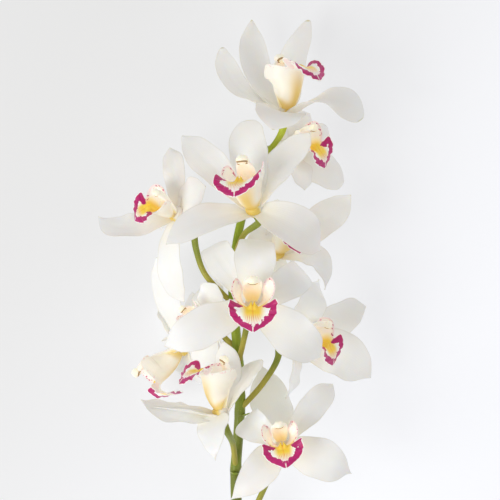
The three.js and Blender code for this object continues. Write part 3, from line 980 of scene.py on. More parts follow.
@dataclass(frozen=True)
class SurfaceFinish:
    """The matt pale surface under the stem, evenly lit from below, and a little darker towards one corner."""

    near: Colour = colour("e6e6e6")
    far: Colour = colour("fafbff")
    black: Colour = colour("000000")
    matt: float = 0.42  # how much of the lamps' light it returns
    gleam: float = 0.66  # how much light comes through it
    slant: float = 0.6  # how far the change from near to far is turned towards the corner
    far_reach: Fade = Fade(-0.26, 0.20)  # in metres
    roughness: float = 0.9
    specular: float = 0.1

    def make(self) -> bpy.types.Material:
        """Makes the material.

        Returns:
            The material.
        """
        material = bpy.data.materials.new("pale_surface")
        material.use_nodes = True
        recipe = Recipe(material.node_tree)
        shader = material.node_tree.nodes["Principled BSDF"]
        spot = recipe.node("ShaderNodeSeparateXYZ", {0: recipe.here()}).outputs
        slanted = recipe.math("SUBTRACT", spot[0], recipe.times(spot[1], self.slant))
        tone = recipe.mix(recipe.step(slanted, self.far_reach), self.near, self.far)
        recipe.link(recipe.mix(self.matt, self.black, tone), shader.inputs["Base Color"])
        recipe.link(tone, shader.inputs["Emission Color"])
        shader.inputs["Emission Strength"].default_value = self.gleam
        shader.inputs["Roughness"].default_value = self.roughness
        shader.inputs["Specular IOR Level"].default_value = self.specular
        return material


# ------------------------------------------------------------------------------------ bloom anatomy


@dataclass(frozen=True)
class BladeKind:
    """The outline of a kind of tepal, in mm and in shares of its length."""

    width: float
    widest: float
    tip_power: float
    root: float  # how far forward of the cup's middle it starts
    claw: float = 0.36  # its width at the root, as a share of its full width
    point: float = 0.5  # its least width
    sharp: float = 0.4  # how much narrower the very tip is
    sharp_from: float = 0.84
    closing_power: float = 2.2

    def half_width(self, share: Array, taper: float, early: float) -> Array:
        """Half its width at shares of its length.

        Args:
            share: Shares of its length.
            taper: How pointed its tip is: 1 is usual.
            early: How much nearer the root its widest place lies than usual.

        Returns:
            Half its width in mm.
        """
        widest = self.widest - early
        opening = self.claw + (1 - self.claw) * np.sin(np.pi / 2 * np.minimum(1, share / widest))
        beyond = np.clip((share - widest) / (1 - widest), 0, 1)
        closing = (1 - beyond**self.closing_power) ** (self.tip_power * taper)
        closing = closing * (1 - self.sharp * min(1, taper) * ease(share, self.sharp_from, 1.0))
        return np.maximum(self.point, self.width * opening * closing) / 2


SEPAL = BladeKind(width=28, widest=0.5, tip_power=0.7, root=-1.2)
PETAL = BladeKind(width=26, widest=0.58, tip_power=0.62, root=1.0)


class Place(Enum):
    """The five places of a bloom's tepals, as seen by someone who faces the bloom."""

    DORSAL = "dorsal sepal"
    RIGHT_PETAL = "right petal"
    LEFT_PETAL = "left petal"
    RIGHT_SEPAL = "right sepal"
    LEFT_SEPAL = "left sepal"

    @property
    def kind(self) -> BladeKind:
        """The outline of the tepal in this place."""
        return PETAL if self in (Place.RIGHT_PETAL, Place.LEFT_PETAL) else SEPAL


@dataclass(frozen=True)
class Tepal:
    """A tepal: where its tip lies, and how its midrib and blade bend on the way there."""

    tip: Point
    arch: float = 9.0  # how far the midrib bows towards the bloom's face
    sway: float = 0.0  # how far it bows sideways
    roll: float = 0.0  # degrees that the whole blade is turned about its midrib
    twist: float = 0.0  # degrees that it turns further from root to tip
    cup: float = 0.3  # how far the margins stand forward, as a share of the half width
    wide: float = 1.0  # width as a share of the usual width
    taper: float = 1.0  # below 1 the tip is blunter than usual, above 1 it is more pointed
    reflex: float = 0.0  # how far the end curls back from the bloom's face
    early: float = 0.0  # how much nearer the root its widest place lies, as a share of its length


@dataclass(frozen=True)
class Bloom:
    """Where a bloom sits and how it opens, measured from the stalk's cut end."""

    number: int
    centre: Point
    faces: Point  # the direction that it looks in
    crown: Point  # roughly the direction of its dorsal sepal
    size: float  # of its lip and column, as a share of the usual size
    joins: float  # where its pedicel leaves the stalk, along Y
    by: tuple[Point, ...]  # places that its pedicel passes
    tepals: dict[Place, Tepal]
    curl: float = 0.0  # degrees that the lip's middle lobe is rolled back

    @property
    def middle(self) -> Array:
        """The centre of its cup."""
        return np.array(self.centre, float)

    @property
    def forward(self) -> Array:
        """The unit direction out of its face."""
        return unit(np.array(self.faces, float))

    @property
    def up(self) -> Array:
        """The unit direction of its dorsal sepal, square to forward."""
        return square_to(np.array(self.crown, float), self.forward)

    @property
    def right(self) -> Array:
        """The unit direction across its face."""
        return np.cross(self.up, self.forward)

    def at(self, forward: Array, up: Array) -> Array:
        """Places in the plane that halves the bloom, forward of its centre and up from it."""
        return self.middle + forward[..., None] * self.forward + up[..., None] * self.up

    def above(self, line: Array) -> Array:
        """The directions square to a line in that plane, on the side of the dorsal sepal.

        Args:
            line: Places along the line, which starts straight forward.

        Returns:
            A unit direction for each place.
        """
        step = np.gradient(line, axis=0)
        step[0] = self.forward
        return np.cross(unit(step), self.right)

    def piece(self, draft: Draft, organ: str, material: bpy.types.Material) -> bpy.types.Object:
        """Makes the piece that stands for the CAD node of one of its organs."""
        label = f"{self.number:02d}"
        return draft.piece(f"{organ}_{label}", material, f"bloom_{label}_{organ}", organ)


@dataclass(frozen=True)
class TepalBlade:
    """One tepal's mesh."""

    bloom: Bloom
    place: Place
    tepal: Tepal
    rows: int = 38
    columns: int = 19
    root_radius: float = 3.2
    # The two points that pull the midrib's curve: shares of the chord, of the arch and of the sway.
    first_pull: tuple[float, float, float] = (0.33, 1.0, 0.7)
    second_pull: tuple[float, float, float] = (0.72, 1.5, 1.3)
    curl_from: float = 0.5  # the share of its length at which the end starts to curl back
    middle_thickness: float = 1.3
    edge_thickness: float = 0.35
    thinning_power: float = 1.5
    root_thickness: float = 1.25  # as a share of the thickness half way along
    thinning: float = 0.5  # how much of that share is lost from root to tip
    usual_length: float = 60.0  # for the distance to the tip
    # The crease along the midrib: depth, width as a share of the half width, the shares of the length over
    # which it ends, and the half width from which it is full depth.
    groove: float = 0.45
    groove_width: float = 0.13
    groove_end: tuple[float, float] = (0.55, 0.95)
    groove_full: float = 8.0
    # The soft waves of the margins, and how closely they keep to the margins and clear of the ends.
    ruffle: float = 1.3
    ruffle_waves: MarginWaves = MarginWaves((0.6, 0.4), left=(1.5, 3.2), right=(1.6, 3.0))
    ruffle_edge: float = 2.5
    ruffle_ends: float = 0.7
    ruffle_seed: int = 100  # for each number of a bloom
    # How much the margins wander, as a share of the half width.
    uneven: float = 0.06
    uneven_waves: MarginWaves = MarginWaves((0.6, 0.4), left=(1.3, 2.9), right=(1.3, 2.9))
    uneven_seed: tuple[int, int] = (3000, 10)  # to start from, and for each number of a bloom

    def add_to(self, draft: Draft) -> None:
        """Adds the blade.

        Args:
            draft: What to add it to.
        """
        share = closing_in(self.rows)
        v = np.sin(np.linspace(-np.pi / 2, np.pi / 2, self.columns))
        centre, tangent = self._midrib(share)
        side, face = self._turn(share, tangent)
        half = self.place.kind.half_width(share, self.tepal.taper, self.tepal.early) * self.tepal.wide
        cup = self.tepal.cup * (1 - share)
        out = half[:, None] * v * self._outline(share, v)
        rise = (half * cup)[:, None] * v**2 + self._relief(share, v, half)
        middle = centre[:, None] + side[:, None] * out[..., None] + face[:, None] * rise[..., None]
        down_rows, across = np.gradient(middle, axis=0), np.gradient(middle, axis=1)
        lean = unit(np.cross(across, down_rows))
        lean *= np.sign(np.sum(lean * face[:, None], axis=-1, keepdims=True))
        thinner = (self.edge_thickness - self.middle_thickness) * np.abs(v) ** self.thinning_power
        thickness = (self.middle_thickness + thinner) * (self.root_thickness - self.thinning * share)[:, None]
        margin = np.minimum(half[:, None] * (1 - np.abs(v)), ((1 - share) * self.usual_length)[:, None])
        draft.loft(blade_loops(middle, lean, thickness), blade_traits(share, v, margin), Ends.SEAM)

    def _midrib(self, share: Array) -> tuple[Array, Array]:
        """Follows the midrib, along a cubic curve from the cup to the tip.

        Args:
            share: Shares of its length.

        Returns:
            The places, and the unit directions there.
        """
        bloom, tepal = self.bloom, self.tepal
        back = bloom.forward * tepal.reflex
        tip = np.array(tepal.tip, float) + back
        outward = square_to(tip - bloom.middle, bloom.forward)
        root = bloom.middle + outward * self.root_radius + bloom.forward * self.place.kind.root
        chord = tip - root
        bow = square_to(bloom.forward, unit(chord))
        aside = unit(np.cross(bow, chord))
        first, second = (
            root + chord * far + bow * arch * tepal.arch + aside * sway * tepal.sway
            for far, arch, sway in (self.first_pull, self.second_pull)
        )
        t = share[:, None]
        places = (1 - t) ** 3 * root + 3 * (1 - t) ** 2 * t * first + 3 * (1 - t) * t**2 * second + t**3 * tip
        starting, ending = (1 - t) ** 2 * (first - root), t**2 * (tip - second)
        slopes = 3 * (starting + 2 * (1 - t) * t * (second - first) + ending)
        curling = 1 - self.curl_from
        late = np.maximum(0, (t - self.curl_from) / curling)
        return places - back * late**2, unit(slopes - back * 2 * late / curling)

    def _turn(self, share: Array, tangent: Array) -> tuple[Array, Array]:
        """Turns the blade about its midrib.

        Args:
            share: Shares of its length.
            tangent: The midrib's directions there.

        Returns:
            The blade's sideways and outward directions there.
        """
        carried = [self.bloom.forward]
        for direction in tangent:
            carried.append(square_to(carried[-1], direction))
        normal = np.array(carried[1:])
        turn = np.radians(self.tepal.roll + self.tepal.twist * share)[:, None]
        face = normal * np.cos(turn) + np.cross(tangent, normal) * np.sin(turn)
        return np.cross(face, tangent), face

    def _outline(self, share: Array, v: Array) -> Array:
        """Varies the width, so that no two margins are alike.

        Args:
            share: Shares of its length.
            v: Places across it, from -1 to 1.

        Returns:
            How much wider or narrower than usual each half of the blade is.
        """
        base, step = self.uneven_seed
        phases = wave_phases(base + step * self.bloom.number + list(Place).index(self.place))
        return 1 + self.uneven * self.uneven_waves.read(share, v, phases) * np.abs(v)

    def _relief(self, share: Array, v: Array, half: Array) -> Array:
        """Works out the crease along the midrib and the soft waves along the margins.

        Args:
            share: Shares of its length.
            v: Places across it, from -1 to 1.
            half: Half its width at each share.

        Returns:
            How far each point stands out.
        """
        phases = wave_phases(self.ruffle_seed * self.bloom.number + list(Place).index(self.place))
        waves = self.ruffle_waves.read(share, v, phases) * np.abs(v) ** self.ruffle_edge
        waves = waves * (np.sin(np.pi * share) ** self.ruffle_ends)[:, None]
        fading = (1 - ease(share, *self.groove_end)) * np.minimum(1, half / self.groove_full)
        return self.ruffle * waves - self.groove * bump(v, 0, self.groove_width) * fading[:, None]


@dataclass(frozen=True)
class Perianth:
    """A bloom's five tepals and the cup that they grow from."""

    bloom: Bloom
    # The cup's outline: forward of the bloom's centre, and radius.
    cup: tuple[tuple[float, float], ...] = (
        (-4.2, 2.7), (-3.4, 3.9), (-2.2, 4.9), (-0.6, 5.4), (1.2, 5.6), (3.0, 5.5), (4.3, 4.9),
    )
    cup_sides: int = 28

    def build(self, material: bpy.types.Material) -> bpy.types.Object:
        """Builds the bloom's tepals.

        Args:
            material: Their finish.

        Returns:
            The piece.
        """
        draft = Draft()
        self._add_cup(draft)
        for place, tepal in self.bloom.tepals.items():
            TepalBlade(self.bloom, place, tepal).add_to(draft)
        return self.bloom.piece(draft, "tepals", material)

    def _add_cup(self, draft: Draft) -> None:
        """Adds the cup. Its MARGIN is below 0 on the lip's side.

        Args:
            draft: What to add it to.
        """
        bloom, angle = self.bloom, round_angles(self.cup_sides)
        round_it = np.cos(angle)[:, None] * bloom.right + np.sin(angle)[:, None] * bloom.up
        forward, radius = (np.array(column) for column in zip(*self.cup))
        loops = bloom.middle + forward[:, None, None] * bloom.forward + radius[:, None, None] * round_it
        draft.loft(loops, grid_traits(loops.shape[:2], margin=np.sin(angle)), Ends.FAN)


@dataclass(frozen=True)
class Lip:
    """A bloom's lip: two side lobes that stand round the column, and a middle lobe that turns down."""

    bloom: Bloom
    # Stations from its root: forward, up, half width as if rolled flat, and degrees that the half is rolled.
    stations: tuple[tuple[float, float, float, float], ...] = (
        (4.0, -3.0, 6.4, 66), (9.5, -4.8, 15.5, 112), (16.0, -5.6, 20.0, 130), (22.5, -5.2, 26.0, 134),
        (28.0, -4.4, 28.0, 119), (32.0, -5.4, 18.5, 50), (34.8, -8.8, 16.0, 14), (35.8, -14.2, 11.5, -10),
        (34.0, -20.4, 3.5, -24),
    )
    rows: int = 100
    columns: int = 61
    packing: float = 0.97  # the nearer to 1, the closer together the columns lie at the margins
    thickness: float = 0.9
    edge_thickness: float = 0.35
    least_half: float = 0.3
    tip_round: tuple[float, float] = (7.2, 0.8)  # where the tip starts to close, and over how many stations
    # The notch between the side lobes and the middle lobe: station, spread, and share of the width.
    sinus: float = 4.55
    sinus_spread: float = 0.26
    sinus_depth: float = 0.5
    # Where the rows lie closer together: how much closer, and over how many stations.
    close_at_sinus: tuple[float, float] = (2.2, 0.6)
    close_at_tip: tuple[float, float] = (1.2, 1.2)
    fine: int = 800
    # The middle lobe rolls back from one station, over a number of them.
    hinge: float = 4.4
    hinge_length: float = 2.2
    # The close waves of the middle lobe, between the stations where they rise and where they end.
    ruffle: float = 0.75
    ruffle_waves: MarginWaves = MarginWaves((1.0, 0.5), left=(1.25, 2.3), right=(1.2, 2.4))
    ruffle_rise: tuple[float, float] = (4.6, 5.2)
    ruffle_end: tuple[float, float] = (7.6, 8.0)
    ruffle_seed: int = 700
    # The slow waves of the side lobes: height, turns for each station, and where they rise.
    swing: float = 0.6
    swing_turns: float = 0.55
    swing_rise: tuple[float, float] = (0.8, 2.0)
    # The callus, two ridges down the throat: height, distance from the middle, spread, and ends.
    callus: float = 4.4
    callus_aside: float = 1.5
    callus_spread: float = 1.15
    callus_rise: tuple[float, float] = (0.2, 1.5)
    callus_end: tuple[float, float] = (4.8, 5.4)
    # The knobs at its end: the height of the ridges before them as a share, their station and spread.
    before_knobs: float = 0.6
    knobs: tuple[float, float] = (4.5, 0.8)

    def build(self, material: bpy.types.Material) -> bpy.types.Object:
        """Builds the bloom's lip.

        Args:
            material: Its finish.

        Returns:
            The piece.
        """
        bloom, last = self.bloom, len(self.stations) - 1
        station = self._spread(last)
        centre, half, roll = self._line(station)
        inner = bloom.above(centre)
        spread = np.linspace(-np.pi / 2, np.pi / 2, self.columns) * self.packing
        v = np.sin(spread) / math.sin(np.pi / 2 * self.packing)
        notch = 1 - self.sinus_depth * bump(station, self.sinus, self.sinus_spread)
        across = v[None] * notch[:, None]
        angle = np.radians(roll)[:, None] * across
        out = half[:, None] * across * np.sinc(angle / np.pi)
        rise = half[:, None] * across * (angle / 2) * np.sinc(angle / 2 / np.pi) ** 2
        middle = centre[:, None] + out[..., None] * bloom.right + rise[..., None] * inner[:, None]
        lean = np.cos(angle)[..., None] * inner[:, None] - np.sin(angle)[..., None] * bloom.right
        middle = middle + lean * self._ruffles(station, across)[..., None] * bloom.size
        lean = self._leaning(middle, lean)
        thickness = self.edge_thickness + (self.thickness - self.edge_thickness) * (1 - np.abs(v) ** 3)
        loops = blade_loops(middle, lean, np.broadcast_to(thickness, across.shape))
        ridges = self._ridges(station, half[:, None] * across)
        loops[:, : self.columns] += lean * ridges[..., None] * bloom.size
        draft = Draft()
        draft.loft(loops, blade_traits(station / last, across, self._to_edge(middle)), Ends.SEAM)
        return bloom.piece(draft, "lip", material)

    def _spread(self, last: int) -> Array:
        """Spreads the rows, closer together round the notch and at the tip.

        Args:
            last: The last station.

        Returns:
            The station of each row.
        """
        fine = np.linspace(0, last, self.fine)
        at_sinus, sinus_reach = self.close_at_sinus
        at_tip, tip_reach = self.close_at_tip
        density = 1 + at_sinus * bump(fine, self.sinus, sinus_reach)
        density = density + at_tip * ease(fine, last - tip_reach, last)
        run = np.concatenate([[0], np.cumsum((density[1:] + density[:-1]) / 2)])
        return np.interp(np.linspace(0, run[-1], self.rows), run, fine)

    def _line(self, station: Array) -> tuple[Array, Array, Array]:
        """Follows the lip's middle line, with the middle lobe rolled back.

        Args:
            station: The station of each row.

        Returns:
            The places, half the width there, and degrees that the half is rolled.
        """
        table, size = np.array(self.stations), self.bloom.size
        pivot = spline(table, np.array([self.hinge]))[0, :2]
        forward, up, half, roll = spline(table, station).T
        forward, up = forward - pivot[0], up - pivot[1]
        turn = np.radians(self.bloom.curl) * np.clip((station - self.hinge) / self.hinge_length, 0, 1)
        turned = pivot[0] + forward * np.cos(turn) + up * np.sin(turn)
        lifted = pivot[1] - forward * np.sin(turn) + up * np.cos(turn)
        root = self.stations[0][0]
        half = np.maximum(self.least_half, half * size * round_end(station, *self.tip_round))
        return self.bloom.at(root + (turned - root) * size, lifted * size), half, roll

    @staticmethod
    def _to_edge(middle: Array) -> Array:
        """The distance from each point of the sheet to its nearest free edge."""
        edge = np.concatenate([middle[:, 0], middle[:, -1], middle[-1]])
        return np.linalg.norm(middle[:, :, None] - edge, axis=-1).min(axis=-1)

    def _ruffles(self, station: Array, across: Array) -> Array:
        """Waves the margin, gently on the side lobes and closely on the middle lobe.

        Args:
            station: The station of each row.
            across: Places across each row, from -1 to 1.

        Returns:
            How far each point stands out.
        """
        phases = wave_phases(self.ruffle_seed + self.bloom.number)
        on_middle = (ease(station, *self.ruffle_rise) * (1 - ease(station, *self.ruffle_end)))[:, None]
        close = self.ruffle * self.ruffle_waves.read(station, across, phases) * on_middle
        turn = 2 * np.pi * self.swing_turns * station[:, None] + np.where(across < 0, phases[0], phases[2])
        slow = self.swing * np.sin(turn) * ease(station, *self.swing_rise)[:, None] * (1 - on_middle)
        return (close + slow) * np.abs(across) ** 3

    def _ridges(self, station: Array, out: Array) -> Array:
        """Raises the callus: two ridges side by side that end in two knobs.

        Args:
            station: The station of each row.
            out: Millimetres from the middle of each row.

        Returns:
            Its height at each point.
        """
        length = ease(station, *self.callus_rise) * (1 - ease(station, *self.callus_end))
        swell = self.before_knobs + (1 - self.before_knobs) * bump(station, *self.knobs)
        sides = (self.callus_aside, -self.callus_aside)
        pair = sum(bump(out, side, self.callus_spread) for side in sides)
        return self.callus * (length * swell)[:, None] * np.minimum(1, pair)

    @staticmethod
    def _leaning(middle: Array, lean: Array) -> Array:
        """Squares the lean to the waved sheet.

        Args:
            middle: The sheet's points.
            lean: Directions out of its inner face before it was waved.

        Returns:
            Unit directions out of its inner face.
        """
        square = np.cross(np.gradient(middle, axis=1), np.gradient(middle, axis=0))
        length = np.linalg.norm(square, axis=-1, keepdims=True)
        square = np.where(length > TINY, square / np.maximum(length, TINY), lean)
        return square * np.where(np.sum(square * lean, axis=-1, keepdims=True) < 0, -1, 1)


@dataclass(frozen=True)
class Column:
    """A bloom's column: an arched half round that hoods the throat and ends in the anther cap."""

    bloom: Bloom
    # Stations from its foot: forward, up, half width and half depth.
    stations: tuple[tuple[float, float, float, float], ...] = (
        (4.0, 2.4, 4.0, 2.2), (11.0, 5.8, 5.7, 2.4), (19.0, 10.4, 6.5, 2.5), (26.0, 12.8, 6.2, 2.7),
        (30.6, 13.0, 4.9, 2.6), (33.2, 12.4, 3.0, 1.8),
    )
    rows: int = 30
    sides: int = 32
    hollow: float = 0.7  # how far the underside is hollowed, as a share of the half depth
    hollow_spread: float = 0.6
    end_round: tuple[float, float] = (0.5, 0.55)  # stations before its end, and over how many it closes
    cap_middle: tuple[float, float] = (33.8, 13.4)  # forward and up
    cap_half: tuple[float, float, float] = (4.2, 3.6, 3.0)  # across, up and along
    cap_rows: int = 18
    cap_open: float = 0.04  # radians left open at each of its poles
    cap_down: float = 0.45  # how much it looks down for each step forward
    cap_beak: tuple[float, float] = (0.18, 0.5)  # how far its front stands out, and its spread in radians
    cap_flat: float = 0.15  # how much flatter it is below
    cap_crease: tuple[float, float] = (0.10, 0.22)  # depth and spread of the crease on top
    cap_smile: float = 0.18  # how much the painted shadow line under it is bent
    # What MARGIN says on each, for the finish.
    shaft_margin: float = 5.0
    cap_margin: float = -1.0

    def build(self, material: bpy.types.Material) -> bpy.types.Object:
        """Builds the bloom's column.

        Args:
            material: Its finish.

        Returns:
            The piece.
        """
        draft = Draft()
        self._add_shaft(draft)
        self._add_cap(draft)
        return self.bloom.piece(draft, "column", material)

    def _at(self, forward: Array, up: Array) -> Array:
        """Places in the bloom's middle plane, at the bloom's own size."""
        bloom, root = self.bloom, self.stations[0][0]
        return bloom.at(root + (forward - root) * bloom.size, up * bloom.size)

    def _add_shaft(self, draft: Draft) -> None:
        """Adds the column without its cap.

        Args:
            draft: What to add it to.
        """
        bloom, last, angle = self.bloom, len(self.stations) - 1, round_angles(self.sides)
        station = np.linspace(0, last, self.rows)
        forward, up, wide, deep = spline(np.array(self.stations), station).T
        centre = self._at(forward, up)
        hollowed = 1 - self.hollow * bump(np.cos(angle), 0, self.hollow_spread)
        height = np.sin(angle) * np.where(np.sin(angle) < 0, hollowed, 1)
        before, length = self.end_round
        grown = bloom.size * round_end(station, last - before, length)
        out = ((wide * grown)[:, None] * np.cos(angle))[..., None] * bloom.right
        rise = ((deep * grown)[:, None] * height)[..., None] * bloom.above(centre)[:, None]
        loops = centre[:, None] + out + rise
        traits = grid_traits(loops.shape[:2], station[:, None] / last, np.sin(angle), self.shaft_margin, 1.0)
        draft.loft(loops, traits, Ends.FAN)

    def _add_cap(self, draft: Draft) -> None:
        """Adds the anther cap: an egg that stands proud of the column's end, with a small beak in front.

        Args:
            draft: What to add it to.
        """
        bloom, angle = self.bloom, round_angles(self.sides)
        across, high, long = (value * bloom.size for value in self.cap_half)
        middle = self._at(*(np.array(value) for value in self.cap_middle))
        ahead = unit(bloom.forward - self.cap_down * bloom.up)
        t = np.linspace(self.cap_open, np.pi - self.cap_open, self.cap_rows)
        beak, beak_spread = self.cap_beak
        reach = long * np.cos(t) * (1 + beak * bump(t, 0, beak_spread))
        depth, spread = self.cap_crease
        crease = 1 - depth * bump(np.cos(angle), 0, spread) * (np.sin(angle) > 0)
        flat = 1 - self.cap_flat * (np.sin(angle) < 0)
        out = across * np.sin(t)[:, None] * np.cos(angle)
        rise = high * np.sin(t)[:, None] * np.sin(angle) * flat * crease
        above = np.cross(ahead, bloom.right)
        loops = middle + reach[:, None, None] * ahead + out[..., None] * bloom.right + rise[..., None] * above
        # ACROSS on the cap, bent into an arc so that the painted shadow under the cap follows it.
        line = np.sin(t)[:, None] * (np.sin(angle) - self.cap_smile * np.cos(angle) ** 2)
        draft.loft(loops, grid_traits(loops.shape[:2], 1.0, line, self.cap_margin, 1.0), Ends.FAN)


# -------------------------------------------------------------------------------- stalk and pedicels


@dataclass(frozen=True)
class FlowerStalk:
    """The stalk and the bract under each pedicel's root."""

    # Along the axis: sideways, from the cut end, height, and radius.
    stations: tuple[tuple[float, float, float, float], ...] = (
        (2, 0, 4.2, 4.4), (2, 26, 4.3, 4.3), (2, 52, 8, 4.2), (1, 82, 20, 4.0), (0, 110, 32, 3.9),
        (-1, 148, 44, 3.8), (1, 176, 49, 3.6), (2, 197, 52, 3.5), (1, 221, 54, 3.4), (-1, 245, 54, 3.3),
        (-3, 272, 54, 3.2), (-2, 291, 53, 3.1), (0, 306, 53, 3.0), (3, 320, 53, 2.9), (9, 340, 52, 2.7),
        (15, 358, 53, 2.5), (21, 370, 55, 2.3),
    )
    rings: int = 200
    sides: int = 24
    grooves: int = 7
    groove_depth: float = 0.05  # share of the radius
    # Where a pedicel leaves it, it is a little thicker: by how much, how far below, and over what length.
    swelling: float = 0.35
    swelling_below: float = 1.0
    swelling_spread: float = 3.0
    fine: int = 2000

    @property
    def axis(self) -> RoundedLine:
        """The stalk's axis."""
        return RoundedLine(np.array(self.stations, float)[:, :3])

    def at(self, reach: float) -> tuple[Array, Array]:
        """The axis at a distance from the cut end, measured along Y.

        Args:
            reach: The distance in mm.

        Returns:
            The place and the unit direction there.
        """
        places, directions = self.axis.sample(np.linspace(0, 1, self.fine))
        nearest = int(np.argmin(np.abs(places[:, 1] - reach)))
        return places[nearest], directions[nearest]

    def build(self, blooms: Sequence[Bloom], material: bpy.types.Material) -> bpy.types.Object:
        """Builds the stalk with its bracts.

        Args:
            blooms: The blooms that it carries.
            material: Its finish.

        Returns:
            The piece.
        """
        draft = Draft()
        centre, tangent = self.axis.sample(np.linspace(0, 1, self.rings))
        table = np.array(self.stations, float)
        radius = np.interp(centre[:, 1], table[:, 1], table[:, 3])
        for bloom in blooms:
            thicker = bump(centre[:, 1], bloom.joins - self.swelling_below, self.swelling_spread)
            radius = radius + self.swelling * thicker
        add_stem(draft, centre, tangent, radius, self.sides, (self.grooves, self.groove_depth))
        for bloom in blooms:
            Bract(bloom, self).add_to(draft)
        return draft.piece("stalk", material, "flower_stalk", "stalk")


@dataclass(frozen=True)
class Bract:
    """The pointed scale that stands under a pedicel's root."""

    bloom: Bloom
    stalk: FlowerStalk
    # Its tip, out from the stalk and up from its root, and how far its root lies below the pedicel's.
    out: float = 7.9
    up: float = 2.8
    below: float = 5.5
    width: float = 7.0
    least_half: float = 0.15
    thickness: float = 0.45
    thinning: float = 0.5  # how much thinner its margins are, as a share
    bow: float = 1.2  # how far its tip turns up
    hollow: float = 0.35  # as a share of its half width
    rows: int = 12
    columns: int = 9
    side_share: float = 0.12  # the share of the pedicel's length that tells on which side it stands
    line_spread: float = 0.4  # how wide the fine lines of its finish are spread
    line_margin: float = 0.3  # what its margin adds to MARGIN

    def add_to(self, draft: Draft) -> None:
        """Adds the bract.

        Args:
            draft: What to add it to.
        """
        place, upward = self.stalk.at(self.bloom.joins)
        _, leaving = Pedicel(self.bloom, self.stalk).line.sample(np.array([self.side_share]))
        outward = square_to(leaving[0], upward)
        root = place - upward * self.below
        tip = root + outward * self.out + upward * self.up
        side = np.cross(outward, upward)
        face = square_to(outward, unit(tip - root))
        share = closing_in(self.rows)
        v = np.linspace(-1, 1, self.columns)
        half = np.maximum(self.least_half, self.width / 2 * np.sqrt(1 - share**2))[:, None]
        middle = root + (tip - root) * share[:, None] + upward * (self.bow * share**2)[:, None]
        hollow = -self.hollow * half * v**2
        grid = middle[:, None] + (half * v)[..., None] * side + hollow[..., None] * face
        thickness = np.broadcast_to(self.thickness * (1 - self.thinning * np.abs(v)), hollow.shape)
        loops = blade_loops(grid, np.broadcast_to(face, grid.shape), thickness)
        margin = half * (1 - np.abs(v)) + self.line_margin
        draft.loft(loops, blade_traits(share, v * self.line_spread, margin), Ends.SEAM)


@dataclass(frozen=True)
class Pedicel:
    """A bloom's own stalk, which swells into the ribbed ovary behind its cup."""

    bloom: Bloom
    stalk: FlowerStalk
    # Its radius at its root, half way and at the ovary, and the shares of its length over which it changes.
    root: float = 2.0
    middle: float = 2.1
    ovary: float = 2.7
    root_reach: tuple[float, float] = (0.0, 0.3)
    ovary_reach: tuple[float, float] = (0.4, 0.9)
    ovary_length: float = 7.0
    behind_cup: float = 4.5
    rings: int = 44
    sides: int = 24
    ribs: int = 6
    rib_depth: float = 0.09

    @property
    def line(self) -> RoundedLine:
        """Its line, from the stalk's axis to the back of the cup.

        Returns:
            The line.
        """
        bloom = self.bloom
        start, _ = self.stalk.at(bloom.joins)
        back = bloom.middle - bloom.forward * self.behind_cup
        behind = back - bloom.forward * self.ovary_length
        return RoundedLine(np.array([start, *bloom.by, behind, back], float))

    def build(self, material: bpy.types.Material) -> bpy.types.Object:
        """Builds the pedicel.

        Args:
            material: Its finish.

        Returns:
            The piece.
        """
        share = np.linspace(0, 1, self.rings)
        centre, tangent = self.line.sample(share)
        radius = self.middle + (self.root - self.middle) * (1 - ease(share, *self.root_reach))
        radius = radius + (self.ovary - self.middle) * ease(share, *self.ovary_reach)
        draft = Draft()
        add_stem(draft, centre, tangent, radius, self.sides, (self.ribs, self.rib_depth))
        return self.bloom.piece(draft, "pedicel", material)


def add_stem(
    draft: Draft, centre: Array, tangent: Array, radius: Array, sides: int, ribs: tuple[int, float]
) -> None:
    """Adds a round stem with shallow ribs, none of it below the surface.

    Args:
        draft: What to add it to.
        centre: Places along its axis.
        tangent: Unit directions there.
        radius: Its radius there.
        sides: Points round it.
        ribs: How many ribs, and their depth as a share of the radius.
    """
    under = square_to(np.broadcast_to(DOWN, tangent.shape), tangent)
    side = np.cross(tangent, under)
    angle = round_angles(sides)
    count, depth = ribs
    reach = radius[:, None] * (1 - depth * (0.5 + 0.5 * np.cos(count * angle)))
    out = (reach * np.cos(angle))[..., None] * side[:, None]
    rise = (reach * np.sin(angle))[..., None] * under[:, None]
    loops = centre[:, None] + out + rise
    loops[..., 2] = np.maximum(loops[..., 2], 0)
    along = np.linspace(0, 1, len(centre))[:, None]
    cut = np.where((along > 0) & (along < 1), FAR_FROM_CUT, 0.0)
    draft.loft(loops, grid_traits(reach.shape, along, np.abs(angle / np.pi - 1), cut), Ends.FAN)


# ----------------------------------------------------------------------------------------- the spray


def five(
    dorsal: Tepal, right_petal: Tepal, left_petal: Tepal, right_sepal: Tepal, left_sepal: Tepal
) -> dict[Place, Tepal]:
    """A bloom's five tepals by their places."""
    return dict(zip(Place, (dorsal, right_petal, left_petal, right_sepal, left_sepal)))


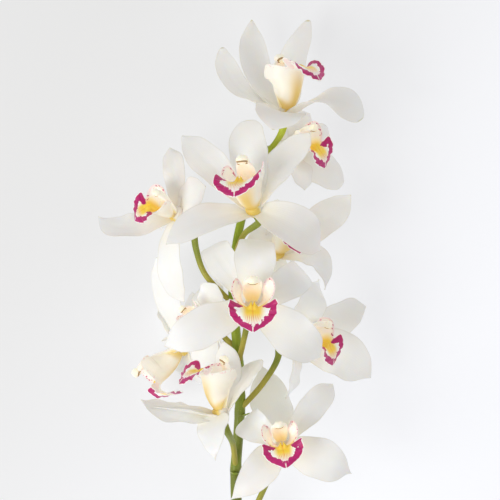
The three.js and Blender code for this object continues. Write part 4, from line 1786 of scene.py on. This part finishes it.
BLOOMS = (
    Bloom(
        1, centre=(33, 391, 66), faces=(0.2, 0.965, 0.17), crown=(-0.8, 0.05, -0.6), size=1.05,
        joins=362, by=((26, 372, 59),), curl=24,
        tepals=five(
            dorsal=Tepal((10, 458, 34), arch=-14, sway=-4, taper=0.85),
            right_petal=Tepal((49, 458, 32), arch=-19, sway=6, twist=48, cup=0.1, wide=0.88, taper=0.6),
            left_petal=Tepal((-10, 437, 60), arch=-12, sway=-4, twist=-50, wide=0.76, taper=0.7),
            right_sepal=Tepal((83, 386, 84), arch=15, sway=-4, twist=45, wide=1.1, taper=0.5, early=-0.1),
            left_sepal=Tepal((24, 379, 104), arch=8, wide=1.2, taper=0.8),
        ),
    ),
    Bloom(
        2, centre=(11.5, 326, 84), faces=(-0.29, 0.67, 0.68), crown=(-0.1, 1, 0), size=1.02,
        joins=296, by=((5, 310, 64),),
        tepals=five(
            dorsal=Tepal((7, 387, 64), arch=1, taper=0.38, reflex=3, wide=0.95),
            right_petal=Tepal((49, 378, 76), arch=4, taper=0.9),
            left_petal=Tepal((-37, 376, 78), arch=1, wide=0.88),
            right_sepal=Tepal((56, 299, 80), arch=12, sway=-3, wide=1.18, taper=1.1),
            left_sepal=Tepal((-47, 303, 96), arch=8, wide=1.05),
        ),
    ),
    Bloom(
        3, centre=(31, 369, 46), faces=(0.82, 0.08, 0.56), crown=(-0.45, 0.87, 0.1), size=0.85,
        joins=344, by=((19, 358, 40),),
        tepals=five(
            dorsal=Tepal((50, 393, 40), arch=1),
            right_petal=Tepal((66, 376, 0), arch=6),
            left_petal=Tepal((40, 388, 44), arch=0),
            right_sepal=Tepal((74, 347, 22), arch=4, sway=-2, taper=0.7),
            left_sepal=Tepal((46, 340, 56), arch=4),
        ),
    ),
    Bloom(
        4, centre=(-40, 323.5, 60), faces=(-0.75, 0.25, 0.6), crown=(0.6, 0.72, 0.35), size=0.76,
        joins=262, by=((-22, 283, 54), (-28, 300, 54)),
        tepals=five(
            dorsal=Tepal((-21, 342, 80), arch=3),
            right_petal=Tepal((-36, 264, 54), arch=8, sway=-3, roll=-30, wide=0.7),
            left_petal=Tepal((-46, 369, 50), arch=1, sway=-4, roll=8, twist=45, wide=0.62),
            right_sepal=Tepal((-50, 322, 0), arch=2, wide=0.8),
            left_sepal=Tepal((-95, 322, 46), arch=6, sway=13, wide=0.85, taper=1.3),
        ),
    ),
    Bloom(
        5, centre=(26.5, 297, 46), faces=(0.42, 0.5, 0.76), crown=(0.05, 1, 0), size=0.9,
        joins=278, by=((12, 288, 44),),
        tepals=five(
            dorsal=Tepal((28, 334, 30), arch=3, wide=0.85),
            right_petal=Tepal((78, 337, 46), arch=-4, sway=-2, wide=0.9, taper=1.2),
            left_petal=Tepal((10, 312, 44), arch=4),
            right_sepal=Tepal((60, 272, 50), arch=12, sway=12, roll=-20, wide=0.8, taper=1.8),
            left_sepal=Tepal((12, 262, 12), arch=8),
        ),
    ),
    Bloom(
        6, centre=(10, 263, 88), faces=(0.02, 0.08, 1), crown=(0, 1, 0), size=1.0,
        joins=222, by=((5, 240, 70),),
        tepals=five(
            dorsal=Tepal((13, 306, 66), arch=20, taper=0.5, reflex=6, wide=0.98),
            right_petal=Tepal((44, 286, 68), arch=14, sway=-4, taper=0.45, reflex=4, wide=0.92),
            left_petal=Tepal((-15, 303, 56), arch=14, sway=4, wide=0.84, taper=0.4, reflex=4),
            right_sepal=Tepal((56, 227, 77), arch=13, wide=1.05),
            left_sepal=Tepal((-48, 235, 94), arch=8, wide=0.95),
        ),
    ),
    Bloom(
        7, centre=(-18, 250, 46), faces=(-0.6, 0.1, 0.79), crown=(-0.75, 0.66, 0), size=0.68,
        joins=232, by=((-9, 240, 47),),
        tepals=five(
            dorsal=Tepal((-16, 278, 26), arch=4),
            right_petal=Tepal((-14, 276, 64), arch=2),
            left_petal=Tepal((-36, 262, 6), arch=2, wide=0.8),
            right_sepal=Tepal((-18, 219, 42), arch=2, wide=0.9),
            left_sepal=Tepal((-22, 208, 44), arch=1, wide=0.85),
        ),
    ),
    Bloom(
        8, centre=(38, 239, 48), faces=(0.85, -0.05, 0.52), crown=(-0.35, 0.93, 0.1), size=0.85,
        joins=190, by=((18, 209, 60), (28, 226, 52)),
        tepals=five(
            dorsal=Tepal((56, 279, 44), arch=6, sway=6, roll=-25, wide=0.95, taper=1.8),
            right_petal=Tepal((89, 260, 26), arch=1),
            left_petal=Tepal((28, 253, 68), arch=2),
            right_sepal=Tepal((92, 211, 34), arch=4, sway=5, wide=1.15),
            left_sepal=Tepal((33, 198, 50), arch=8, sway=-4, roll=-5, wide=0.6, taper=1.3),
        ),
    ),
    Bloom(
        9, centre=(-10.5, 189, 80), faces=(-0.3, 0.93, 0.2), crown=(0.8, 0.55, -0.2), size=1.0,
        joins=150, by=((-3, 168, 62),), curl=14,
        tepals=five(
            dorsal=Tepal((17, 225, 74), arch=2, wide=1.15, taper=0.6),
            right_petal=Tepal((-14, 159, 98), arch=6, wide=0.9, taper=2.0, early=0.33),
            left_petal=Tepal((-9.5, 237, 61), arch=-8, wide=0.82),
            right_sepal=Tepal((-64, 199, 88), arch=-5, roll=-25, taper=1.2, wide=0.8),
            left_sepal=Tepal((-61, 194, 68), arch=4, sway=10, taper=1.2),
        ),
    ),
    Bloom(
        10, centre=(-38, 232, 28), faces=(-0.62, -0.76, 0.18), crown=(-0.78, 0.62, 0.0), size=1.0,
        joins=200, by=((-5, 214, 38), (-20, 236, 22)), curl=35,
        tepals=five(
            dorsal=Tepal((-56, 294, 32), arch=-2, sway=-2, twist=45),
            right_petal=Tepal((-46, 241, 54), arch=-1, twist=60, wide=0.7),
            left_petal=Tepal((-52, 262, 0), arch=2, wide=0.8),
            right_sepal=Tepal((-26, 206, 18), arch=2),
            left_sepal=Tepal((-40, 212, 0), arch=2),
        ),
    ),
    Bloom(
        11, centre=(30, 169, 78), faces=(0, 0.1, 1), crown=(-0.17, 1, 0), size=0.85,
        joins=92, by=((8, 112, 36), (19, 138, 54)),
        tepals=five(
            dorsal=Tepal((17, 219, 38), arch=-9),
            right_petal=Tepal((65, 208, 60), arch=8, wide=0.7, taper=1.2),
            left_petal=Tepal((7, 186, 60), arch=11, sway=4, wide=0.85, taper=0.5, reflex=3),
            right_sepal=Tepal((77, 149, 80), arch=12, taper=1.6),
            left_sepal=Tepal((-5, 131, 84), arch=12, sway=2, wide=0.85, taper=2.2, early=0.15),
        ),
    ),
)


@dataclass
class FlowerSpray:
    """The whole stem: its stalk, and each bloom on its pedicel."""

    blooms: Sequence[Bloom]
    stalk: FlowerStalk = field(default_factory=FlowerStalk)
    young_pedicels: frozenset[int] = frozenset({1})

    def build(self, tissue: PlantTissue) -> list[bpy.types.Object]:
        """Builds and dresses every piece.

        Args:
            tissue: The shared effects of the plant's finishes.

        Returns:
            The pieces.
        """
        tepal = TepalFinish().make(tissue)
        lip = LipFinish().make(tissue)
        column = ColumnFinish().make(tissue)
        pedicel = StemFinish(StemColour.PEDICEL).make(tissue)
        young = StemFinish(StemColour.YOUNG_PEDICEL).make(tissue)
        pieces = [self.stalk.build(self.blooms, StemFinish(StemColour.STALK).make(tissue))]
        for bloom in self.blooms:
            green = young if bloom.number in self.young_pedicels else pedicel
            pieces += [
                Perianth(bloom).build(tepal),
                Lip(bloom).build(lip),
                Column(bloom).build(column),
                Pedicel(bloom, self.stalk).build(green),
            ]
        return pieces


# ----------------------------------------------------------------------------------------- the stage


@dataclass(frozen=True)
class SoftLight:
    """A large soft lamp, placed in metres."""

    name: str
    place: Point
    aim: Point
    size: float
    watts: float
    tint: tuple[float, float, float] = (1.0, 1.0, 1.0)

    def build(self) -> bpy.types.Object:
        """Hangs the lamp.

        Returns:
            The lamp.
        """
        data = bpy.data.lights.new(self.name, "AREA")
        data.shape = "DISK"
        data.size = self.size
        data.energy = self.watts
        data.color = self.tint
        lamp = bpy.data.objects.new(self.name, data)
        lamp.location = self.place
        lamp.rotation_euler = (Vector(self.aim) - Vector(self.place)).to_track_quat("-Z", "Y").to_euler()
        bpy.context.scene.collection.objects.link(lamp)
        return lamp


@dataclass(frozen=True)
class Studio:
    """The pale surface, the soft light and the camera that looks down on the stem."""

    floor_size: float = 8.0  # in metres
    floor_below: float = 0.5  # how far under the stem it lies, in mm
    sky: Colour = (1.0, 0.985, 0.955, 1.0)
    sky_strength: float = 0.37
    aim: tuple[float, float] = (8.84, 299.2)  # where the camera looks, in mm from the cut end
    view_plane: float = 60.0  # height in mm at which the view is view_width wide
    view_width: float = 340.0
    distance: float = 1800.0  # from that height up to the camera
    sensor: float = 36.0
    lights: tuple[SoftLight, ...] = (
        SoftLight("key", (-1.25, -0.5, 1.5), (0.0, 0.05, 0.05), 1.3, 22.5, (0.98, 0.988, 1.0)),
        SoftLight("fill", (1.2, 0.3, 1.7), (0.0, 0.05, 0.05), 1.6, 7.0, (0.97, 0.98, 1.0)),
    )

    def build(self) -> None:
        """Builds the stage."""
        self._floor()
        for light in self.lights:
            light.build()
        world = bpy.data.worlds.new("soft_room")
        world.use_nodes = True
        background = world.node_tree.nodes["Background"]
        background.inputs["Color"].default_value = self.sky
        background.inputs["Strength"].default_value = self.sky_strength
        bpy.context.scene.world = world
        bpy.context.scene.view_settings.view_transform = "Standard"
        self._camera()

    def _floor(self) -> None:
        """The pale surface."""
        half = self.floor_size / 2
        mesh = bpy.data.meshes.new("floor")
        corners = [(-half, -half, 0), (half, -half, 0), (half, half, 0), (-half, half, 0)]
        mesh.from_pydata(corners, [], [(0, 1, 2, 3)])
        mesh.materials.append(SurfaceFinish().make())
        floor = bpy.data.objects.new("floor", mesh)
        floor.location.z = -self.floor_below * MM
        bpy.context.scene.collection.objects.link(floor)

    def _camera(self) -> None:
        """The camera, straight above the spray, with the stem's length upright in its view."""
        data = bpy.data.cameras.new("camera")
        data.sensor_width = self.sensor
        data.lens = self.sensor * self.distance / self.view_width
        camera = bpy.data.objects.new("camera", data)
        x, y = ((place - middle) * MM for place, middle in zip(self.aim, FOOTPRINT_MIDDLE))
        camera.location = (x, y, (self.view_plane + self.distance) * MM)
        bpy.context.scene.collection.objects.link(camera)
        bpy.context.scene.camera = camera


def main() -> None:
    """Builds the stage and the stem, and notes how many pieces there are."""
    logging.basicConfig(level=logging.INFO, format="%(message)s")
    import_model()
    Studio().build()
    pieces = FlowerSpray(BLOOMS).build(PlantTissue())
    LOG.info("%d pieces", len(pieces))


if __name__ == "__main__":
    main()
